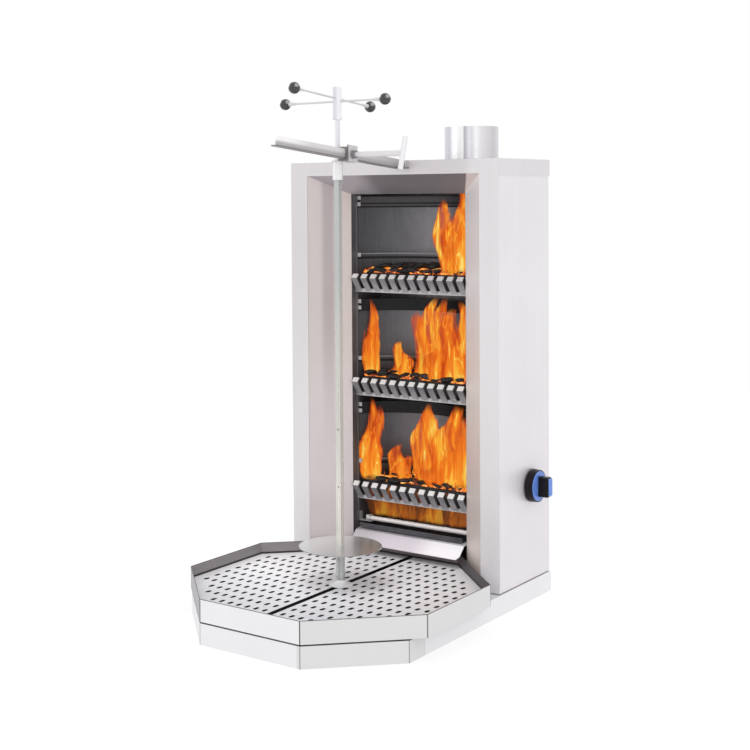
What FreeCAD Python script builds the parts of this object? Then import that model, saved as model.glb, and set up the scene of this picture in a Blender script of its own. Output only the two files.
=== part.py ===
import FreeCAD, Part
import math
import os

# Vertical rotisserie broiler: a charcoal cabinet with three fire baskets, an octagonal drip tray
# on a low base, and a turning spit held between a drive cone and a sliding top carriage.
# Millimetres. The origin is at the middle of the octagonal tray, on the bench. +X is to the
# operator's right, +Y runs from the operator towards the fire, +Z is up.

Vector = FreeCAD.Vector

# ---------------------------------------------------------------- driving dimensions
sheet = 1.5                      # stainless sheet used for panels, tray and base

# base and tray
base_half_width = 302.0
base_front = -330.0
base_back = 500.0
base_height = 48.0
tray_flats = 660.0               # octagon, across flats
tray_bottom = 51.5
tray_rim = 102.0
plate_level = 74.0               # top of the perforated plates
plate_gap = 15.0                 # gap between the two plates
hole_columns = 12                # in each plate
hole_pitch_x = 24.5
hole_pitch_y = 40.0
hole_width = 9.5
hole_length = 18.5
first_column = 25.0              # first column of holes, from the gap's middle
carriage_travel = 90.0           # spit moves this far to and from the fire

# cabinet
cabinet_half_width = 300.0
cabinet_front = 237.0
cabinet_back = 496.0
cabinet_bottom = 50.5
cabinet_top_level = 1070.0
lid_lip = 40.0                   # depth of the lid's turned-down edge
post_inner = 249.0               # half width of the front opening
opening_top = 1036.0
chamber_half_width = 167.0
chamber_front = 316.0
chamber_back = 452.0
chamber_top_level = 989.0
chamber_floor_top = 131.0

# fire baskets
basket_levels = {"lower": 208.0, "middle": 475.0, "upper": 742.0}
finger_count = 12
finger_pitch = 28.0
finger_width = 16.5
finger_sheet = 3.0
fence_plane = 335.0              # front strip of a basket
reflector_end = 345.0            # y of a reflector's two side edges
reflector_middle = 438.0         # y of its deepest point

# flue collar
flue_x = 166.0
flue_y = 350.0
flue_radius = 65.0
flue_height = 80.0
collar_foot = 2.6                # height of the collar's narrower foot
collar_step = 1.0                # how much smaller the foot's radius is

# drive
gear_module = 1.25
gear_teeth = 54
pinion_teeth = 18
gear_bottom = 34.0
gear_face = 8.0
pressure_angle = math.radians(20)
backlash = 0.12
running = 0.05                   # radial running clearance
shaft_radius = 6.0
neck_radius = 5.0                # shaft where it passes between the perforated plates

# spit
spit_y = 17.0                    # the spit's axis when it is in the middle of its travel; x = 0
bar = 13.0                       # square spit bar
journal_radius = 6.0
cone_bottom = 75.5
socket_bottom = 79.0
cone_top = 88.0
cone_rim = 28.0
cone_neck = 10.4
journal_bottom = 1027.0
hub_bottom = 1162.0
hub_top = 1237.5
hub_radius = 10.0
disc_radius = 97.0
disc_top = 167.5
sleeve_radius = 10.2
ball_radius = 13.5
rod_radius = 2.3

# top arm
arm_slope = math.tan(math.radians(5.0))   # rises towards the operator
arm_level = 1070.0                        # underside of the arm above the origin
arm_height = 23.0
arm_sheet = 3.0
arm_web = 35.0                            # outer face of the web
arm_lip = 15.0
arm_front = -262.0
arm_back = 234.0
screw_level = 1080.0

# side knob
knob_y = 398.0
knob_z = 280.0
knob_radius = 40.0
knob_gap = 4.0                   # between the side panel and the knob
knob_tip = 352.0
spindle_end = 322.0

os.makedirs("parts", exist_ok=True)


# ---------------------------------------------------------------- small helpers
def save(name, shape):
    """Write one piece to its own file."""
    shape.exportStep("parts/" + name + ".step")


def box(x0, x1, y0, y1, z0, z1):
    return Part.makeBox(x1 - x0, y1 - y0, z1 - z0, Vector(x0, y0, z0))


def cylinder(radius, start, along, length):
    return Part.makeCylinder(radius, length, Vector(*start), Vector(*along))


def extruded(points, along):
    """A closed outline of 3-D points, extruded along a vector."""
    loop = [Vector(*p) for p in points]
    wire = Part.makePolygon(loop + [loop[0]])
    return Part.Face(wire).extrude(Vector(*along))


def plan_prism(points, z0, z1):
    return extruded([(x, y, z0) for x, y in points], (0, 0, z1 - z0))


def side_prism(points, x0, x1):
    return extruded([(x0, y, z) for y, z in points], (x1 - x0, 0, 0))


def front_prism(points, y0, y1):
    return extruded([(x, y0, z) for x, z in points], (0, y1 - y0, 0))


def offset_line(points, distance):
    """An open line of 2-D points moved sideways by distance, with mitred corners."""
    moved = []
    count = len(points)
    for i in range(count):
        normals = []
        for a, b in ((i - 1, i), (i, i + 1)):
            if a >= 0 and b < count:
                dx = points[b][0] - points[a][0]
                dy = points[b][1] - points[a][1]
                length = math.hypot(dx, dy)
                normals.append((-dy / length, dx / length))
        nx = sum(n[0] for n in normals) / len(normals)
        ny = sum(n[1] for n in normals) / len(normals)
        stretch = distance / (nx * nx + ny * ny)
        moved.append((points[i][0] + nx * stretch, points[i][1] + ny * stretch))
    return moved


def folded(points, thickness):
    """The closed outline of a bent sheet whose middle line is the open line given."""
    return offset_line(points, thickness / 2) + offset_line(points, -thickness / 2)[::-1]


def inset(points, distance):
    """A convex anticlockwise outline shrunk by distance on every side."""
    count = len(points)
    result = []
    for i in range(count):
        before, here, after = points[i - 1], points[i], points[(i + 1) % count]
        line = offset_line([before, here, after], distance)
        result.append(line[1])
    return result


def mirrored(shape):
    """The same piece on the other side of the middle plane."""
    return shape.mirror(Vector(0, 0, 0), Vector(1, 0, 0))


def slot_hole(x, y, width, length, z0, z1):
    """A slot along y with round ends."""
    radius = width / 2
    reach = length / 2 - radius
    hole = box(x - radius, x + radius, y - reach, y + reach, z0, z1)
    for end in (-reach, reach):
        hole = hole.fuse(cylinder(radius, (x, y + end, z0), (0, 0, 1), z1 - z0))
    return hole.removeSplitter()


def octagon(flats):
    radius = flats / 2 / math.cos(math.pi / 8)
    turns = [math.pi / 8 + i * math.pi / 4 for i in range(8)]
    return [(radius * math.cos(t), radius * math.sin(t)) for t in turns]


# ---------------------------------------------------------------- base
half_side = tray_flats / 2 * math.tan(math.pi / 8)
shoulder_y = base_front + base_half_width - half_side
base_outline = [
    (-half_side, base_front),
    (half_side, base_front),
    (base_half_width, shoulder_y),
    (base_half_width, base_back),
    (-base_half_width, base_back),
    (-base_half_width, shoulder_y),
]
deck_bottom = base_height - sheet
shaft_slot = 2 * (carriage_travel + 15)


def base_skirt():
    flange = inset(base_outline, 14)
    wall = inset(base_outline, sheet)
    shell = plan_prism(base_outline, 0, deck_bottom)
    shell = shell.cut(plan_prism(flange, -1, base_height))
    shell = shell.cut(plan_prism(wall, -1, sheet))
    shell = shell.cut(plan_prism(wall, 2 * sheet, deck_bottom - sheet))
    return shell.cut(corner_seams(base_outline, -1, base_height))


def base_bottom_cover():
    cover = plan_prism(inset(base_outline, sheet + 0.3), 0, sheet)
    vents = [slot_hole(50 + 12 * i, spit_y + 70, 5, 40, -1, 2 * sheet) for i in range(-3, 4)]
    return cover.cut(Part.makeCompound(vents))


def base_deck():
    deck = plan_prism(base_outline, deck_bottom, base_height)
    shaft_hole = slot_hole(0, spit_y, 18, shaft_slot, deck_bottom - 1, base_height + 1)
    wire_hole = slot_hole(-230, 400, 24, 60, deck_bottom - 1, base_height + 1)
    return deck.cut(shaft_hole).cut(wire_hole)


rail_inner = 28.0                 # height of the rail's lower flange, middle of the sheet
carriage_left = -56.5
carriage_right = 96.5


def carriage_rails():
    level = deck_bottom - sheet / 2
    left = carriage_left - 1.5
    right = carriage_right + 1.5
    line_left = [(left - 14, level), (left, level), (left, rail_inner), (left + 12, rail_inner)]
    line_right = [(right + 14, level), (right, level), (right, rail_inner), (right - 12, rail_inner)]
    reach = carriage_travel + 95
    y0, y1 = spit_y - reach, spit_y + reach
    rails = [front_prism(folded(line, sheet), y0, y1) for line in (line_left, line_right)]
    return Part.makeCompound(rails)


def tray_pads():
    spots = [(-200, -120), (200, -120), (-200, 180), (200, 180)]
    height = tray_bottom - base_height
    return Part.makeCompound([cylinder(10, (x, y, base_height), (0, 0, 1), height) for x, y in spots])


seam_width = 0.8
seam_depth = 0.6


def corner_seams(outline, z0, z1):
    """Fine upright grooves where the wall sheets meet at the corners of an outline."""
    grooves = []
    count = len(outline)
    for i in range(count):
        here = outline[i]
        line = offset_line([outline[i - 1], here, outline[(i + 1) % count]], seam_depth)
        dx = line[1][0] - here[0]
        dy = line[1][1] - here[1]
        reach = math.hypot(dx, dy)
        side = (-dy / reach * seam_width / 2, dx / reach * seam_width / 2)
        outside = (here[0] - dx, here[1] - dy)
        points = [
            (line[1][0] + side[0], line[1][1] + side[1]),
            (outside[0] + side[0], outside[1] + side[1]),
            (outside[0] - side[0], outside[1] - side[1]),
            (line[1][0] - side[0], line[1][1] - side[1]),
        ]
        grooves.append(plan_prism(points, z0, z1))
    return Part.makeCompound(grooves)


# ---------------------------------------------------------------- drip tray and plates
tray_outline = octagon(tray_flats)
plate_bottom = plate_level - sheet


def drip_tray():
    inside = inset(tray_outline, sheet)
    tray = plan_prism(tray_outline, tray_bottom, tray_rim)
    tray = tray.cut(plan_prism(inside, tray_bottom + sheet, tray_rim + 1))
    ledge = plan_prism(inside, plate_bottom - sheet, plate_bottom)
    ledge = ledge.cut(plan_prism(inset(tray_outline, 14), 0, tray_rim))
    lip = slot_hole(0, spit_y, 21, shaft_slot + 6, tray_bottom, plate_bottom)
    opening = slot_hole(0, spit_y, 18, shaft_slot + 3, tray_bottom - 1, tray_rim)
    tray = tray.fuse([ledge, lip]).cut(opening).removeSplitter()
    return tray.cut(corner_seams(tray_outline, tray_bottom - 1, tray_rim + 1))


def perforated_plate(side):
    """Half of the tray's floor plate, on the side given by -1 or 1."""
    outline = inset(tray_outline, sheet + 1.5)
    reach = tray_flats
    plate = plan_prism(outline, plate_bottom, plate_level)
    edge = plate_gap / 2
    low, high = sorted((side * edge, side * reach))
    plate = plate.common(box(low, high, -reach, reach, 0, tray_rim))
    border = inset(tray_outline, 24)
    holes = []
    for column in range(hole_columns):
        x = first_column + column * hole_pitch_x
        for row in range(-7, 8):
            y = row * hole_pitch_y
            if inside_convex(border, x, abs(y) + hole_length / 2 - 6):
                holes.append(slot_hole(side * x, y, hole_width, hole_length, 0, tray_rim))
    return plate.cut(Part.makeCompound(holes))


def inside_convex(points, x, y):
    """Whether a point is inside a convex anticlockwise outline."""
    for i in range(len(points)):
        x0, y0 = points[i - 1]
        x1, y1 = points[i]
        if (x1 - x0) * (y - y0) - (y1 - y0) * (x - x0) < 0:
            return False
    return True


# ---------------------------------------------------------------- lower carriage and drive
# These pieces and the spit's are drawn about x = 0, y = 0 and moved to the spit's axis when saved.
carriage_bottom = rail_inner + sheet / 2 + 0.25
carriage_sheet = 3.0
gear_top = gear_bottom + gear_face
pinion_x = gear_module * (gear_teeth + pinion_teeth) / 2
motor_x = pinion_x + 5.0
bearing_radius = 14.0
spindle_radius = 3.5


def carriage_plate():
    """Sliding plate with the bearing housing welded under it."""
    top = carriage_bottom + carriage_sheet
    plate = box(carriage_left, carriage_right, -70, 70, carriage_bottom, top)
    housing = cylinder(18, (0, 0, 6), (0, 0, 1), carriage_bottom - 6)
    plate = plate.fuse(housing)
    plate = plate.cut(cylinder(bearing_radius, (0, 0, 0), (0, 0, 1), carriage_bottom - 2))
    plate = plate.cut(cylinder(shaft_radius + 1, (0, 0, 0), (0, 0, 1), top + 1))
    plate = plate.cut(cylinder(spindle_radius + 1, (pinion_x, 0, 0), (0, 0, 1), top + 1))
    for side in (-1, 1):
        plate = plate.cut(cylinder(2.1, (motor_x, 35 * side, 0), (0, 0, 1), top + 1))
    return plate


def gearbox_cover():
    top = carriage_bottom + carriage_sheet
    lid = gear_top + 2.5
    cover = box(-40, 64, -42, 42, top, lid)
    cover = cover.cut(box(-38.8, 62.8, -40.8, 40.8, top - 1, lid - 1.2))
    return cover.cut(cylinder(neck_radius + 1.5, (0, 0, top), (0, 0, 1), lid))


def output_bearings():
    rings = []
    for bottom in (8.0, 17.0):
        ring = cylinder(bearing_radius - 0.02, (0, 0, bottom), (0, 0, 1), 8)
        rings.append(ring.cut(cylinder(shaft_radius + running, (0, 0, bottom), (0, 0, 1), 8)))
    return Part.makeCompound(rings)


def motor_can():
    """Flat geared motor under the plate, with two fixing ears."""
    bottom = 4.0
    can = cylinder(30, (motor_x, 0, bottom), (0, 0, 1), carriage_bottom - bottom)
    ear_bottom = carriage_bottom - 3
    ears = box(motor_x - 6, motor_x + 6, -40, 40, ear_bottom, carriage_bottom)
    can = can.fuse(ears)
    for side in (-1, 1):
        can = can.cut(cylinder(2.1, (motor_x, 35 * side, ear_bottom - 1), (0, 0, 1), 5))
    well = cylinder(spindle_radius + running, (pinion_x, 0, 20), (0, 0, 1), 20)
    return can.cut(well)


def motor_bolts():
    top = carriage_bottom + carriage_sheet
    bolts = []
    for side in (-1, 1):
        y = 35 * side
        shank = cylinder(2.0, (motor_x, y, top - 9), (0, 0, 1), 9)
        bolts.append(shank.fuse(cylinder(3.5, (motor_x, y, top), (0, 0, 1), 2.5)))
    return Part.makeCompound(bolts)


def involute_gear(teeth, z0, height, first_turn):
    """A spur gear on the z axis, with the middle of a tooth at the angle first_turn."""
    pitch = gear_module * teeth / 2
    base = pitch * math.cos(pressure_angle)
    tip = pitch + gear_module
    root = pitch - 1.25 * gear_module
    half_tooth = math.pi / (2 * teeth) - backlash / (2 * pitch)
    half_at_base = half_tooth + math.tan(pressure_angle) - pressure_angle
    start = max(base, root)
    flank = []
    steps = 4
    for i in range(steps + 1):
        radius = start + (tip - start) * i / steps
        slack = math.sqrt(max((radius / base) ** 2 - 1, 0))
        flank.append((radius, half_at_base - (slack - math.atan(slack))))
    if root < start:
        flank.insert(0, (root, flank[0][1]))
    outline = []
    for tooth in range(teeth):
        middle = first_turn + 2 * math.pi * tooth / teeth
        outline += [(r, middle - a) for r, a in flank]
        outline += [(r, middle + a) for r, a in reversed(flank)]
    points = [(r * math.cos(a), r * math.sin(a)) for r, a in outline]
    return plan_prism(points, z0, z0 + height)


def drive_gear():
    gear = involute_gear(gear_teeth, gear_bottom, gear_face, 0)
    return gear.cut(cylinder(shaft_radius, (0, 0, 0), (0, 0, 1), base_height))


def motor_pinion():
    """Pinion cut on the motor's own spindle."""
    gap_turn = math.pi + math.pi / pinion_teeth
    pinion = involute_gear(pinion_teeth, gear_bottom, gear_face, gap_turn)
    spindle = cylinder(spindle_radius, (0, 0, 21), (0, 0, 1), gear_top + 1 - 21)
    piece = pinion.fuse(spindle)
    piece.translate(Vector(pinion_x, 0, 0))
    return piece


def output_shaft():
    shaft = cylinder(shaft_radius, (0, 0, 7), (0, 0, 1), gear_top - 7)
    neck = cylinder(neck_radius, (0, 0, gear_top), (0, 0, 1), socket_bottom - 1 - gear_top)
    return shaft.fuse(neck)


def drive_cone():
    """Flared cone that sheds fat and holds a square socket for the spit."""
    rise = cone_top - cone_bottom
    profile = [(0, cone_bottom), (cone_rim, cone_bottom), (cone_rim, cone_bottom + 1.5)]
    steps = 8
    for i in range(1, steps + 1):
        turn = math.pi / 2 * i / steps
        radius = cone_rim - (cone_rim - cone_neck) * math.sin(turn) ** 0.9
        height = cone_bottom + 1.5 + (rise - 1.5) * (1 - math.cos(turn))
        profile.append((radius, height))
    profile.append((0, cone_top))
    face = Part.Face(Part.makePolygon([Vector(r, 0, z) for r, z in profile + profile[:1]]))
    cone = face.revolve(Vector(0, 0, 0), Vector(0, 0, 1), 360)
    cone = cone.cut(cylinder(neck_radius, (0, 0, cone_bottom), (0, 0, 1), socket_bottom - 1 - cone_bottom))
    half = bar / 2 + 0.15
    return cone.cut(box(-half, half, -half, half, socket_bottom, cone_top + 1))


# ---------------------------------------------------------------- spit
pin_hole_levels = (306.5, 441.0)
disc_pin_level = 136.0


def spit_bar():
    half = bar / 2
    shaft = box(-half, half, -half, half, socket_bottom + 0.3, journal_bottom)
    journal = cylinder(journal_radius, (0, 0, journal_bottom), (0, 0, 1), hub_bottom + 28 - journal_bottom)
    shaft = shaft.fuse(journal)
    for level in pin_hole_levels:
        shaft = shaft.cut(cylinder(2.0, (0, -bar, level), (0, 1, 0), 2 * bar))
    return shaft.cut(cylinder(2.0, (0, -bar, disc_pin_level), (0, 1, 0), 2 * bar))


def meat_disc():
    """Round plate welded on a sleeve that slides over the bar."""
    plate = cylinder(disc_radius, (0, 0, disc_top - 2), (0, 0, 1), 2)
    sleeve = cylinder(sleeve_radius, (0, 0, cone_top + 0.4), (0, 0, 1), disc_top - 2 - cone_top - 0.4)
    lower = [e for e in sleeve.Edges if abs(e.CenterOfMass.z - cone_top - 0.4) < 0.01 and e.Length > 50]
    sleeve = sleeve.makeChamfer(0.6, lower)
    half = bar / 2 + 0.1
    piece = plate.fuse(sleeve)
    piece = piece.cut(box(-half, half, -half, half, 0, disc_top + 10))
    return piece.cut(cylinder(2.0, (0, -20, disc_pin_level), (0, 1, 0), 40))


def disc_pin():
    reach = sleeve_radius + 0.8
    return cylinder(1.98, (0, -reach, disc_pin_level), (0, 1, 0), 2 * reach)


rod_levels = {"x": 1203.4, "y": 1210.5}
rod_reach = {"x": 141.0, "y": 152.5}
rod_shift = {"x": -9.5, "y": 14.5}        # how far a rod's middle is from the hub's
rod_tilt = math.radians(5.2)


def rod_direction(axis):
    if axis == "x":
        return Vector(1, 0, 0)
    return Vector(0, -math.cos(rod_tilt), math.sin(rod_tilt))


def rod_middle(axis):
    return Vector(0, 0, rod_levels[axis]) + rod_direction(axis) * rod_shift[axis]


def cross_rod(axis):
    """A thin rod through the hub with a tapered ferrule behind each ball."""
    along = rod_direction(axis)
    middle = rod_middle(axis)
    reach = rod_reach[axis]
    length = 2 * (reach - 6)
    rod = Part.makeCylinder(rod_radius, length, middle - along * (length / 2), along)
    for sign in (-1, 1):
        start = middle + along * (sign * (reach - 34))
        taper = Part.makeCone(rod_radius + 0.4, 5.0, 22, start, along * sign)
        rod = rod.fuse(taper)
    return rod


def cross_rods():
    return Part.makeCompound([cross_rod("x"), cross_rod("y")])


def ball_knobs():
    balls = []
    for axis in ("x", "y"):
        rod = cross_rod(axis)
        for sign in (-1, 1):
            centre = rod_middle(axis) + rod_direction(axis) * (sign * rod_reach[axis])
            balls.append(Part.makeSphere(ball_radius, centre).cut(rod))
    return Part.makeCompound(balls)


def cross_hub():
    hub = cylinder(hub_radius, (0, 0, hub_bottom), (0, 0, 1), hub_top - hub_bottom)
    upper = [e for e in hub.Edges if abs(e.CenterOfMass.z - hub_top) < 0.01 and e.Length > 50]
    hub = hub.makeChamfer(1.2, upper)
    hub = hub.fuse(cylinder(hub_radius + 1.2, (0, 0, hub_bottom), (0, 0, 1), 4))
    hub = hub.cut(cylinder(journal_radius + 0.05, (0, 0, hub_bottom - 1), (0, 0, 1), 30))
    for axis in ("x", "y"):
        hub = hub.cut(cross_rod(axis))
    return hub


# ---------------------------------------------------------------- top arm and its carriage
def arm_z(y):
    return arm_level - arm_slope * y


def along_arm(points, y0, y1):
    """A section of (x, height above the arm's underside), swept along the sloping arm."""
    rise = arm_z(y0)
    return extruded([(x, y0, z + rise) for x, z in points], (0, y1 - y0, arm_z(y1) - arm_z(y0)))


arm_bolt_spots = ((27.0, 1062.0), (46.5, 1058.0))
end_plate = (57.0, 1049.5, 1069.9)        # its outer edge, underside and top


def top_arm():
    """Angle-section arm with a flanged end plate that bolts to the front frame."""
    inner = arm_web - arm_lip
    section = [
        (inner, 0),
        (arm_web, 0),
        (arm_web, arm_height),
        (arm_web - arm_sheet, arm_height),
        (arm_web - arm_sheet, arm_sheet),
        (inner, arm_sheet),
    ]
    arm = along_arm(section, arm_back, arm_front)
    edge, low, high = end_plate
    plate = box(inner, edge, arm_back, cabinet_front, low, high)
    flange = box(edge - arm_sheet, edge, arm_back - 12, arm_back + 1, low, high)
    plate = plate.fuse(flange).removeSplitter()
    for x, z in arm_bolt_spots:
        plate = plate.cut(cylinder(2.6, (x, arm_back - 1, z), (0, 1, 0), 60))
    return arm.fuse(plate)


def arm_bolts():
    bolts = []
    for x, z in arm_bolt_spots:
        head = cylinder(4.4, (x, arm_back - 3, z), (0, 1, 0), 3)
        shank = cylinder(2.5, (x, arm_back, z), (0, 1, 0), 12)
        nut = cylinder(4.2, (x, cabinet_front + sheet, z), (0, 1, 0), 4)
        bolts.append(head.fuse([shank, nut]))
    return Part.makeCompound(bolts)


bracket_out = 43.0
bracket_half = 19.0               # half of the bracket's width along the arm
bush_radius = 9.0
guard_radius = 12.0               # the wider part of the bush that hangs under the bracket
guard_bottom = 1022.0
guard_bore = 10.0                 # wide enough for the corners of the square bar
journal_bore_bottom = 1048.0
eye_plates = ((1063.0, 1067.0), (1094.0, 1098.0))
screw_hole = 5.1


def carriage_bracket():
    """Box that slides on the arm, with two eyes that reach the spit's journal."""
    inner = arm_web - arm_lip - 1.0
    y0, y1 = spit_y - bracket_half, spit_y + bracket_half
    low = -5.0
    high = arm_height + 5.0
    top = arm_height + 9.5
    body = along_arm([(inner - 4, low), (bracket_out, low), (bracket_out, high), (inner - 4, high)], y0, y1)
    plate = [(bracket_out - 3, low), (bracket_out, low), (bracket_out, top), (bracket_out - 3, top)]
    cheek = along_arm(plate, y0, y1)
    clear = 0.8
    floor = -clear
    roof = arm_height + clear
    tunnel = [(inner, floor), (arm_web + 1, floor), (arm_web + 1, roof), (inner, roof)]
    bracket = body.fuse(cheek)
    for bottom, upper in eye_plates:
        arm = box(0, inner - 2, spit_y - 11, spit_y + 11, bottom, upper)
        eye = cylinder(14, (0, spit_y, bottom), (0, 0, 1), upper - bottom)
        bracket = bracket.fuse([arm, eye])
    bracket = bracket.cut(along_arm(tunnel, y0 - 6, y1 + 6))
    bracket = bracket.cut(cylinder(bush_radius, (0, spit_y, guard_bottom), (0, 0, 1), 100))
    return bracket.cut(cylinder(screw_hole, (arm_web, spit_y, screw_level), (1, 0, 0), 20))


def top_bush():
    """Bush pressed into both eyes, with a wider sleeve that hangs below the lower one."""
    joint = eye_plates[0][0]
    top = eye_plates[1][1] + 1
    bush = cylinder(bush_radius - 0.02, (0, spit_y, joint), (0, 0, 1), top - joint)
    bush = bush.fuse(cylinder(guard_radius, (0, spit_y, guard_bottom), (0, 0, 1), joint - guard_bottom))
    start = guard_bottom - 1
    mouth = cylinder(guard_bore, (0, spit_y, start), (0, 0, 1), journal_bore_bottom - start)
    bore = cylinder(journal_radius + running, (0, spit_y, start), (0, 0, 1), 100)
    return bush.cut([mouth, bore])


def hexagon(flats):
    radius = flats / 2 / math.cos(math.pi / 6)
    return [(radius * math.cos(i * math.pi / 3), radius * math.sin(i * math.pi / 3)) for i in range(6)]


def clamp_nut():
    points = [(y + spit_y, z + screw_level) for y, z in hexagon(19)]
    nut = side_prism(points, bracket_out, bracket_out + 8)
    return nut.cut(cylinder(screw_hole, (bracket_out - 1, spit_y, screw_level), (1, 0, 0), 20))


tee_x = 178.0
tee_radius = 6.0
tee_length = 78.0
tee_tilt = math.radians(16.5)
thread_end = 70.0


def tee_axis():
    """Where the clamp screw's cross bar starts, and its direction."""
    along = Vector(0, math.sin(tee_tilt), math.cos(tee_tilt))
    return Vector(tee_x, spit_y, screw_level) - along * (tee_length / 2), along


def clamp_tee_bar():
    start, along = tee_axis()
    tee = Part.makeCylinder(tee_radius, tee_length, start, along)
    return tee.makeChamfer(0.8, [e for e in tee.Edges if 30 < e.Length < 40])


def clamp_screw():
    thread = cylinder(5.0, (arm_web + 0.3, spit_y, screw_level), (1, 0, 0), thread_end - arm_web)
    shank = cylinder(6.6, (thread_end, spit_y, screw_level), (1, 0, 0), tee_x - 2.5 - thread_end)
    start, along = tee_axis()
    saddle = Part.makeCylinder(tee_radius, tee_length, start, along)
    return thread.fuse(shank).cut(saddle)


# ---------------------------------------------------------------- cabinet panels
def front_frame():
    back = cabinet_front + sheet
    width = cabinet_half_width
    frame = box(-width, width, cabinet_front, back, cabinet_bottom, cabinet_top_level)
    frame = frame.cut(box(-post_inner, post_inner, 0, 500, 0, opening_top))
    for x, z in arm_bolt_spots:
        frame = frame.cut(cylinder(2.6, (x, cabinet_front - 1, z), (0, 1, 0), 5))
    return frame


panel_face = cabinet_half_width - sheet + 0.5


def side_panel(side):
    """A side panel with turned-in front and rear edges."""
    x = panel_face - sheet / 2
    front = cabinet_front + sheet + 0.1
    line = [
        (x - 16, front + sheet / 2),
        (x, front + sheet / 2),
        (x, cabinet_back - sheet / 2),
        (x - 16, cabinet_back - sheet / 2),
    ]
    panel = plan_prism(folded(line, sheet), cabinet_bottom, cabinet_top_level - sheet - 0.1)
    if side < 0:
        return mirrored(panel)
    return panel.cut(cylinder(7, (250, knob_y, knob_z), (1, 0, 0), 60))


gland_x = -220.0
gland_z = 90.0
inlet_x = 262.0
inlet_z = 283.0
screw_spots = [(x, z) for x in (-285, 285) for z in (90, 400, 710, 1010)]


def back_panel():
    y0 = cabinet_back + 0.1
    panel = box(-297, 297, y0, y0 + sheet, cabinet_bottom, cabinet_top_level - sheet - 0.1)
    vents = []
    for row in range(6):
        for column in range(5):
            x = -120 + 60 * column
            z = 180 + 16 * row
            vents.append(box(x - 20, x + 20, y0 - 1, y0 + 3, z, z + 5))
    panel = panel.cut(Part.makeCompound(vents))
    panel = panel.cut(cylinder(8.1, (gland_x, y0 - 1, gland_z), (0, 1, 0), 5))
    panel = panel.cut(cylinder(9.3, (inlet_x, y0 - 1, inlet_z), (0, 1, 0), 5))
    for x, z in screw_spots:
        panel = panel.cut(cylinder(2.1, (x, y0 - 1, z), (0, 1, 0), 5))
    return panel


def back_panel_screws():
    y0 = cabinet_back + 0.1 + sheet
    screws = []
    for x, z in screw_spots:
        head = Part.makeCone(4.0, 2.6, 2.2, Vector(x, y0, z), Vector(0, 1, 0))
        screws.append(head.fuse(cylinder(2.0, (x, y0 - sheet, z), (0, 1, 0), sheet)))
    return Part.makeCompound(screws)


def cabinet_top():
    """Lid with turned-down side and rear edges and the flue hole."""
    width = cabinet_half_width + 0.5
    front = cabinet_front + sheet + 0.1
    back = cabinet_back + 3.5
    low = cabinet_top_level - lid_lip
    lid = box(-width, width, front, back, low, cabinet_top_level)
    reach = panel_face + 0.05
    inside = box(-reach, reach, front - 1, back - sheet, low - 1, cabinet_top_level - sheet)
    lid = lid.cut(inside)
    return lid.cut(cylinder(flue_radius - 3, (flue_x, flue_y, low), (0, 0, 1), lid_lip + 1))


def cabinet_floor():
    floor = box(-295, 295, cabinet_front + 4, cabinet_back - 3, base_height, base_height + sheet)
    return floor.cut(slot_hole(-230, 400, 24, 60, base_height - 1, base_height + 3))


throat_slope = (opening_top + 0.5 - chamber_top_level) / (chamber_front - cabinet_front - sheet - 0.1)


def throat_z(y):
    return chamber_top_level + throat_slope * (chamber_front - y)


def jamb(side):
    """Splayed cheek from the front opening back to the fire chamber."""
    front = (post_inner, cabinet_front + sheet + 0.1)
    back = (chamber_half_width + 0.2, chamber_front)
    dx = front[0] - back[0]
    dy = back[1] - front[1]
    length = math.hypot(dx, dy)
    shift = (dy / length * sheet, dx / length * sheet)
    outside = [(x + shift[0], y + shift[1]) for x, y in (front, back)]
    outline = [front] + outside + [back]
    sheet_piece = plan_prism(outline, cabinet_bottom, opening_top)
    y0, y1 = cabinet_front, chamber_front + 3
    above = [(y0, throat_z(y0)), (y1, throat_z(y1)), (y1, 1200), (y0, 1200)]
    sheet_piece = sheet_piece.cut(side_prism(above, 0, 400))
    return sheet_piece if side > 0 else mirrored(sheet_piece)


def hood_throat():
    """Sloping ceiling between the front opening and the fire chamber."""
    y0 = cabinet_front + sheet + 0.1
    y1 = chamber_front
    wide = post_inner
    narrow = chamber_half_width + 0.2
    spots = [(-wide, y0), (wide, y0), (narrow, y1), (-narrow, y1)]
    corners = [(x, y, throat_z(y)) for x, y in spots]
    thick = sheet / math.hypot(1, throat_slope)
    return extruded(corners, (0, throat_slope * thick, thick))


# ---------------------------------------------------------------- fire chamber
shell_front = chamber_front + 1.6
burner_y = 347.0
burner_z = 152.0


def chamber_shell():
    """Side walls, back wall and floor of the fire chamber, bent from sheet."""
    x = chamber_half_width + sheet / 2
    y = chamber_back + sheet / 2
    line = [(-x, shell_front), (-x, y), (x, y), (x, shell_front)]
    shell = plan_prism(folded(line, sheet), base_height + 4, chamber_top_level - 0.2)
    floor = box(-x, x, 341.5, y, chamber_floor_top - sheet, chamber_floor_top)
    shell = shell.fuse(floor)
    for side in (-1, 1):
        low, high = sorted((side * chamber_half_width, side * (chamber_half_width - 3)))
        shell = shell.fuse(box(low, high, 338, 340, 142, chamber_top_level - 3))
    shell = shell.fuse(basket_runners()).removeSplitter()
    return shell.cut(cylinder(6.3, (150, burner_y, burner_z), (1, 0, 0), 30))


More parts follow.
